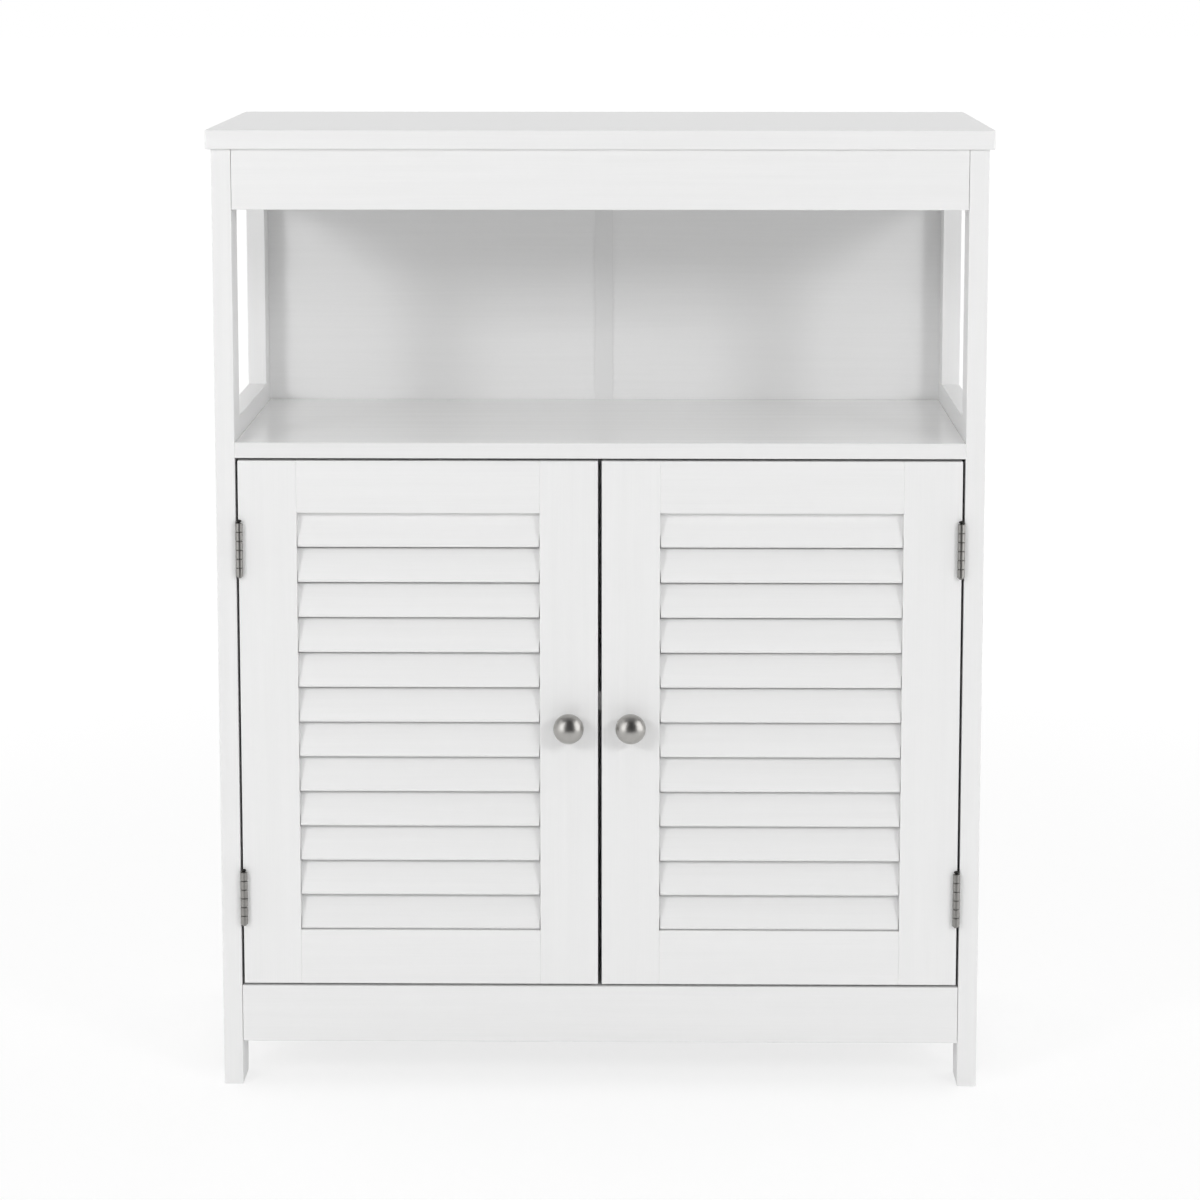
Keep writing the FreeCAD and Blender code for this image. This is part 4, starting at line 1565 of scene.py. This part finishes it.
# ---- Catches, strikes and shelf pins --------------------------------------------------------
@dataclass
class MagneticCatch:
    """The catch behind one door: a moulded housing and a magnet between two pole plates."""

    side: Side
    width: float = 34.0 * MM
    magnet_width: float = 14.0 * MM
    magnet_recess: float = 0.3 * MM
    pole_thickness: float = 1.2 * MM
    pole_corner: float = 0.25 * MM
    pole_ease: float = 0.12 * MM
    face_setback: float = 0.35 * MM
    corner_radius: float = 2.0 * MM
    edge_ease: float = 0.5 * MM
    screw_head_radius: float = 2.5 * MM

    def centre_x(self) -> float:
        """The X place of the catch's middle."""
        return self.side.value * (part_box("catch_housings")[1].x - self.width / 2)

    def housing(self) -> Shape:
        """The moulded block under the shelf.

        Returns:
            The block at its place.
        """
        low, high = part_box("catch_housings")
        front = low.y + self.face_setback
        outline = rounded_rectangle(self.width / 2, (high.y - front) / 2, self.corner_radius)
        block = prism(outline, low.z, high.z, self.edge_ease)
        return moved(block, Matrix.Translation((self.centre_x(), (front + high.y) / 2, 0)))

    def bar(self, low_z: float, high_z: float, front: float, back: float, half: float) -> Shape:
        """A plate or block of the magnet.

        Args:
            low_z: The height of its foot.
            high_z: The height of its top.
            front: The depth of its front.
            back: The depth of its back.
            half: Half of its width.

        Returns:
            The bar at its place.
        """
        outline = rounded_rectangle(half, (back - front) / 2, self.pole_corner, 3)
        shape = prism(outline, low_z, high_z, self.pole_ease)
        return moved(shape, Matrix.Translation((self.centre_x(), (front + back) / 2, 0)))

    def poles(self) -> list[Shape]:
        """The two steel plates that stand a little proud of the magnet.

        Returns:
            The lower and the upper plate.
        """
        low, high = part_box("catch_magnets")
        half = self.magnet_width / 2
        return [self.bar(low.z, low.z + self.pole_thickness, low.y, high.y, half),
                self.bar(high.z - self.pole_thickness, high.z, low.y, high.y, half)]

    def magnet(self) -> Shape:
        """The dark block between the plates.

        Returns:
            The block at its place.
        """
        low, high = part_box("catch_magnets")
        return self.bar(low.z + self.pole_thickness, high.z - self.pole_thickness,
                        low.y + self.magnet_recess, high.y, self.magnet_width / 2 - self.magnet_recess)

    def screw_places(self) -> Drives:
        """Places the two screws of the housing.

        Returns:
            Where the heads are and which way the screws are driven.
        """
        low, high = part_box("catch_screws")
        middle = self.centre_x()
        offset = high.x - self.screw_head_radius - abs(middle)
        return [(Vector((middle + step, (low.y + high.y) / 2, low.z - HEAD_PROUD)), Vector((0, 0, 1)))
                for step in (-offset, offset)]


@dataclass
class StrikePlate:
    """The steel plate on the back of one door that the magnet holds."""

    side: Side
    corner_radius: float = 1.8 * MM
    edge_ease: float = 0.15 * MM
    screw_offset: float = 9.5 * MM

    @property
    def node(self) -> str:
        """The name of the plate's CAD node."""
        return f"{self.side.door}_strike_plate"

    def build(self, finish: Material) -> None:
        """Cuts the plate with rounded corners.

        Args:
            finish: The plate's material.
        """
        low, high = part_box(self.node)
        outline = rounded_rectangle((high.x - low.x) / 2, (high.z - low.z) / 2, self.corner_radius)
        plate = prism(outline, 0, high.y - low.y, self.edge_ease)
        add_piece(moved(plate, turned_at(back_middle(self.node), 90, "X")),
                  f"{self.side.word}_strike_plate", finish, self.side.door, Slot.ZINC, [self.node])

    def screws(self) -> ScrewSet:
        """The two screws of the plate.

        Returns:
            The set, driven forwards into the door.
        """
        centre = back_middle(self.node, HEAD_PROUD)
        places = [(centre + Vector((step, 0, 0)), Vector((0, -1, 0)))
                  for step in (-self.screw_offset, self.screw_offset)]
        return ScrewSet(f"{self.side.word}_strike_plate_screws", self.side.door,
                        f"{self.side.door}_strike_screws", STRIKE_SCREW, Slot.ZINC, places)


@dataclass
class ShelfPins:
    """Four turned pins with a collar, two in each side, under the inner shelf."""

    radius: float = 2.5 * MM
    end_radius: float = 2.0 * MM
    end_slant: float = 0.75 * MM
    collar_radius: float = 3.6 * MM
    collar_height: float = 0.8 * MM
    collar_ease: float = 0.15 * MM
    tip_round: float = 0.8 * MM
    reach: float = 7.0 * MM
    sides: int = 28

    def outline(self, length: float) -> list[Point]:
        """The turned shape of a pin, from its end in the panel to its rounded tip.

        Args:
            length: The pin's whole length.

        Returns:
            Radius and height of each point.
        """
        radius, rim, ease = self.radius, self.collar_radius, self.collar_ease
        low = length - self.reach
        high = low + self.collar_height
        shoulder = length - self.tip_round
        tip = arc((radius - self.tip_round, shoulder), (self.tip_round, self.tip_round), 0, 90, 5)
        return [(0.0, 0.0), (self.end_radius, 0.0), (radius, self.end_slant), (radius, low),
                (rim - ease, low), (rim, low + ease), (rim, high - ease), (rim - ease, high),
                (radius, high), (radius, shoulder), *tip, (0.0, length)]

    def build(self, finish: Material) -> None:
        """Turns the pins where the frame has them.

        Args:
            finish: The pins' material.
        """
        low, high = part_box("shelf_pins")
        length = high.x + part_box("left_side_panel")[1].x + self.reach
        shapes = []
        for side in Side:
            for y in (low.y + self.radius, high.y - self.radius):
                place = turned_at((side.value * high.x, y, (low.z + high.z) / 2), -90 * side.value, "Y")
                shapes.append(moved(lathe(self.outline(length), self.sides), place))
        add_piece(join(shapes), "shelf_support_pins", finish, "case", Slot.ZINC, ["shelf_pins"])


# ---- Studio -------------------------------------------------------------------------------
@dataclass(frozen=True)
class SoftLamp:
    """A large soft lamp. A strength of 1 is as bright as the white surroundings."""

    name: str
    place: Point3
    width: float
    height: float
    strength: float
    aim: Point3 = (0, 0, 0.4)

    def on(self, side: Side) -> SoftLamp:
        """The same lamp, hung on one side."""
        x, y, z = self.place
        return replace(self, name=f"{self.name}_{side.word}", place=(x * side.value, y, z))

    def build(self) -> None:
        """Hangs the lamp."""
        light = bpy.data.lights.new(self.name, "AREA")
        light.shape = "RECTANGLE"
        light.size = self.width
        light.size_y = self.height
        light.energy = self.strength * math.pi * self.width * self.height
        lamp = new_object(self.name, light)
        lamp.location = self.place
        lamp.rotation_euler = (Vector(self.aim) - lamp.location).to_track_quat("-Z", "Y").to_euler()
        lamp.visible_camera = False
        lamp.visible_glossy = False


@dataclass(frozen=True)
class Card:
    """A dark or glowing card that only reflections show."""

    name: str
    centre: Point3
    turn: tuple[float, str]
    width: float
    height: float
    tone: float

    def glow(self, graph: ShaderGraph) -> Socket:
        """The card's even light."""
        return graph.result("ShaderNodeEmission", {"Color": WHITE, "Strength": self.tone})

    def build(self) -> None:
        """Hangs the card."""
        shape = bmesh.new()
        bmesh.ops.create_grid(shape, x_segments=1, y_segments=1, size=0.5)
        moved(shape, turned_at(self.centre, *self.turn) @ Matrix.Diagonal((self.width, self.height, 1, 1)))
        card = new_object(self.name, mesh_of(shape, self.name, new_material(self.name, self.glow)))
        card.visible_camera = False
        card.visible_diffuse = False
        card.visible_shadow = False
        card.visible_transmission = False


@dataclass
class Studio:
    """Pale floor, white surroundings, soft lamps, dark cards and the camera."""

    ambient: float = 0.40
    floor_tone: float = 0.95
    floor_half: float = 30.0
    floor_glow: float = 1.03
    shadow_share: float = 0.30
    shadow_near: float = 0.7
    shadow_far: float = 2.2
    camera_place: Point3 = (0.0367, -3.0824, 0.8980)
    camera_tilt: float = 0.1528
    camera_pan: float = -0.0124
    camera_lens: float = 116.08
    camera_sensor: float = 36.0
    camera_shift: float = -0.06
    camera_range: float = 100.0
    cards: tuple[Card, ...] = (
        Card("front_card", (0.165, -1.05, 1.0), (90, "X"), 1.33, 2.0, 0.05),
        Card("ceiling_card", (0, -0.15, 2.0), (0, "X"), 2.8, 2.2, 0.30),
        Card("left_card", (-1.81, -1.6, 1.0), (90, "X"), 2.1, 2.0, 2.3),
        Card("right_card", (1.5, -0.75, 0.9), (90, "Y"), 1.75, 2.0, 2.2))
    side_lamps: tuple[SoftLamp, ...] = (
        SoftLamp("key_lamp", (1.7, -2.6, 1.5), 0.5, 0.6, 17.5),
        SoftLamp("front_lamp", (1.8, -2.6, 1.4), 1.6, 1.2, 1.2),
        SoftLamp("side_lamp", (2.6, -0.9, 1.2), 1.6, 1.4, 0.3),
        SoftLamp("flank_lamp", (2.6, 0.6, 1.0), 1.6, 1.4, 1.4),
        SoftLamp("back_lamp", (2.0, 2.2, 1.4), 2.0, 1.4, 2.1))
    ceiling_lamp: SoftLamp = SoftLamp("ceiling_lamp", (0, -0.4, 2.4), 2.4, 1.6, 0.45, (0, -0.1, 0))

    def surroundings(self, graph: ShaderGraph) -> Socket:
        """White to the eye, and a plain soft light on the cabinet.

        Args:
            graph: The world's graph.

        Returns:
            The mixed background.
        """
        light = graph.result("ShaderNodeBackground", {"Color": WHITE, "Strength": self.ambient})
        white = graph.result("ShaderNodeBackground", {"Color": WHITE, "Strength": 1.0})
        return graph.mixed(graph.seen(), light, white)

    def floor_surface(self, graph: ShaderGraph) -> Socket:
        """Pale floor that is white to the eye and keeps a light shadow near the cabinet.

        Args:
            graph: The floor material's graph.

        Returns:
            The mixed shader.
        """
        reach = graph.vector("LENGTH", graph.object_place((1, 1, 0)), output="Value")
        inputs = {"Value": reach, "From Min": self.shadow_near, "From Max": self.shadow_far,
                  "To Min": self.shadow_share, "To Max": 0.0}
        share = graph.result("ShaderNodeMapRange", inputs, interpolation_type="SMOOTHSTEP")
        pale = graph.result("ShaderNodeBsdfDiffuse", {"Color": (*(self.floor_tone,) * 3, 1)})
        lit = graph.result("ShaderNodeBsdfDiffuse", {"Color": WHITE})
        white = graph.result("ShaderNodeEmission", {"Color": WHITE, "Strength": self.floor_glow})
        return graph.mixed(graph.seen(), pale, graph.mixed(share, white, lit))

    def build_floor(self) -> None:
        """Lays the floor."""
        shape = bmesh.new()
        bmesh.ops.create_grid(shape, x_segments=1, y_segments=1, size=self.floor_half)
        finish = new_material("studio_floor", self.floor_surface)
        floor = new_object("studio_floor", mesh_of(shape, "studio_floor", finish))

    def build_lamps(self) -> None:
        """Hangs a small key lamp and four wide lamps on each side, and one lamp above."""
        for side in Side:
            for lamp in self.side_lamps:
                lamp.on(side).build()
        self.ceiling_lamp.build()

    def build_camera(self) -> None:
        """Sets the camera at the height of a standing eye, a little above the top board."""
        lens = bpy.data.cameras.new("camera")
        lens.sensor_width = self.camera_sensor
        lens.lens = self.camera_lens
        lens.shift_y = self.camera_shift
        lens.clip_end = self.camera_range
        camera = new_object("camera", lens)
        camera.location = self.camera_place
        camera.rotation_euler = (math.pi / 2 - self.camera_tilt, 0, -self.camera_pan)
        bpy.context.scene.camera = camera

    def build(self) -> None:
        """Sets up everything that isn't part of the cabinet."""
        world = bpy.data.worlds.new("studio_world")
        bpy.context.scene.world = fill(world, "ShaderNodeOutputWorld", self.surroundings)
        self.build_floor()
        for card in self.cards:
            card.build()
        self.build_lamps()
        self.build_camera()
        bpy.context.scene.view_settings.view_transform = "Standard"
        LOG.info("studio ready")


# ---- The whole ----------------------------------------------------------------------------
def clear_scene() -> None:
    """Removes what a new file starts with."""
    for obj in list(bpy.data.objects):
        bpy.data.objects.remove(obj)


def build_knobs(finishes: Finishes, screws: Tree) -> None:
    """Builds both knobs and the screws behind them.

    Args:
        finishes: The cabinet's materials.
        screws: The screws' shape tree.
    """
    for side in Side:
        knob = Knob(side)
        knob.build()
        knob.screw().build(screws, finishes.other[Slot.ZINC])


def build_hinges(finishes: Finishes, screws: Tree) -> None:
    """Builds the four hinges and their screws.

    Args:
        finishes: The cabinet's materials.
        screws: The screws' shape tree.
    """
    tree = hinge_leaf_tree()
    nickel = finishes.other[Slot.NICKEL]
    case_places: Drives = []
    for side in Side:
        door_places: Drives = []
        for level in ("upper", "lower"):
            hinge = ButtHinge(side, level)
            hinge.build(tree, nickel, finishes.cap)
            case_places += hinge.screw_places("case_leaf")
            door_places += hinge.screw_places("door_leaf")
        ScrewSet(f"{side.word}_hinge_door_screws", side.door, f"{side.door}_hinge_screws", HINGE_SCREW,
                 Slot.NICKEL, door_places).build(screws, nickel)
    ScrewSet("hinge_case_screws", "case", "case_hinge_screws", HINGE_SCREW, Slot.NICKEL,
             case_places).build(screws, nickel)


def build_catches(finishes: Finishes, screws: Tree) -> None:
    """Builds both magnetic catches, their strikes and all their screws.

    Args:
        finishes: The cabinet's materials.
        screws: The screws' shape tree.
    """
    zinc = finishes.other[Slot.ZINC]
    catches = [MagneticCatch(side) for side in Side]
    parts = {
        "catch_blocks": ([catch.housing() for catch in catches], Slot.PLASTIC, ["catch_housings"]),
        "catch_pole_plates": ([pole for catch in catches for pole in catch.poles()], Slot.ZINC, []),
        "catch_magnet_blocks": ([catch.magnet() for catch in catches], Slot.MAGNET, ["catch_magnets"]),
    }
    for name, (shapes, slot, nodes) in parts.items():
        add_piece(join(shapes), name, finishes.other[slot], "case", slot, nodes)
    places = [place for catch in catches for place in catch.screw_places()]
    ScrewSet("catch_block_screws", "case", "catch_screws", CATCH_SCREW, Slot.ZINC,
             places).build(screws, zinc)
    for side in Side:
        strike = StrikePlate(side)
        strike.build(zinc)
        strike.screws().build(screws, zinc)


def main() -> None:
    """Builds the cabinet's looks round its frame."""
    logging.basicConfig(level=logging.INFO, format="%(message)s")
    clear_scene()
    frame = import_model()
    finishes = Finishes().make()
    PaintedBoards(finishes).dress(frame["nodes"])
    HiddenFittings(finishes).dress(frame["nodes"])
    louvres = louvre_tree()
    for side in Side:
        Louvres(side, finishes.paint[Grain.ACROSS]).build(louvres)
    screws = screw_tree()
    build_knobs(finishes, screws)
    build_hinges(finishes, screws)
    build_catches(finishes, screws)
    ShelfPins().build(finishes.other[Slot.ZINC])
    Studio().build()


if __name__ == "__main__":
    main()
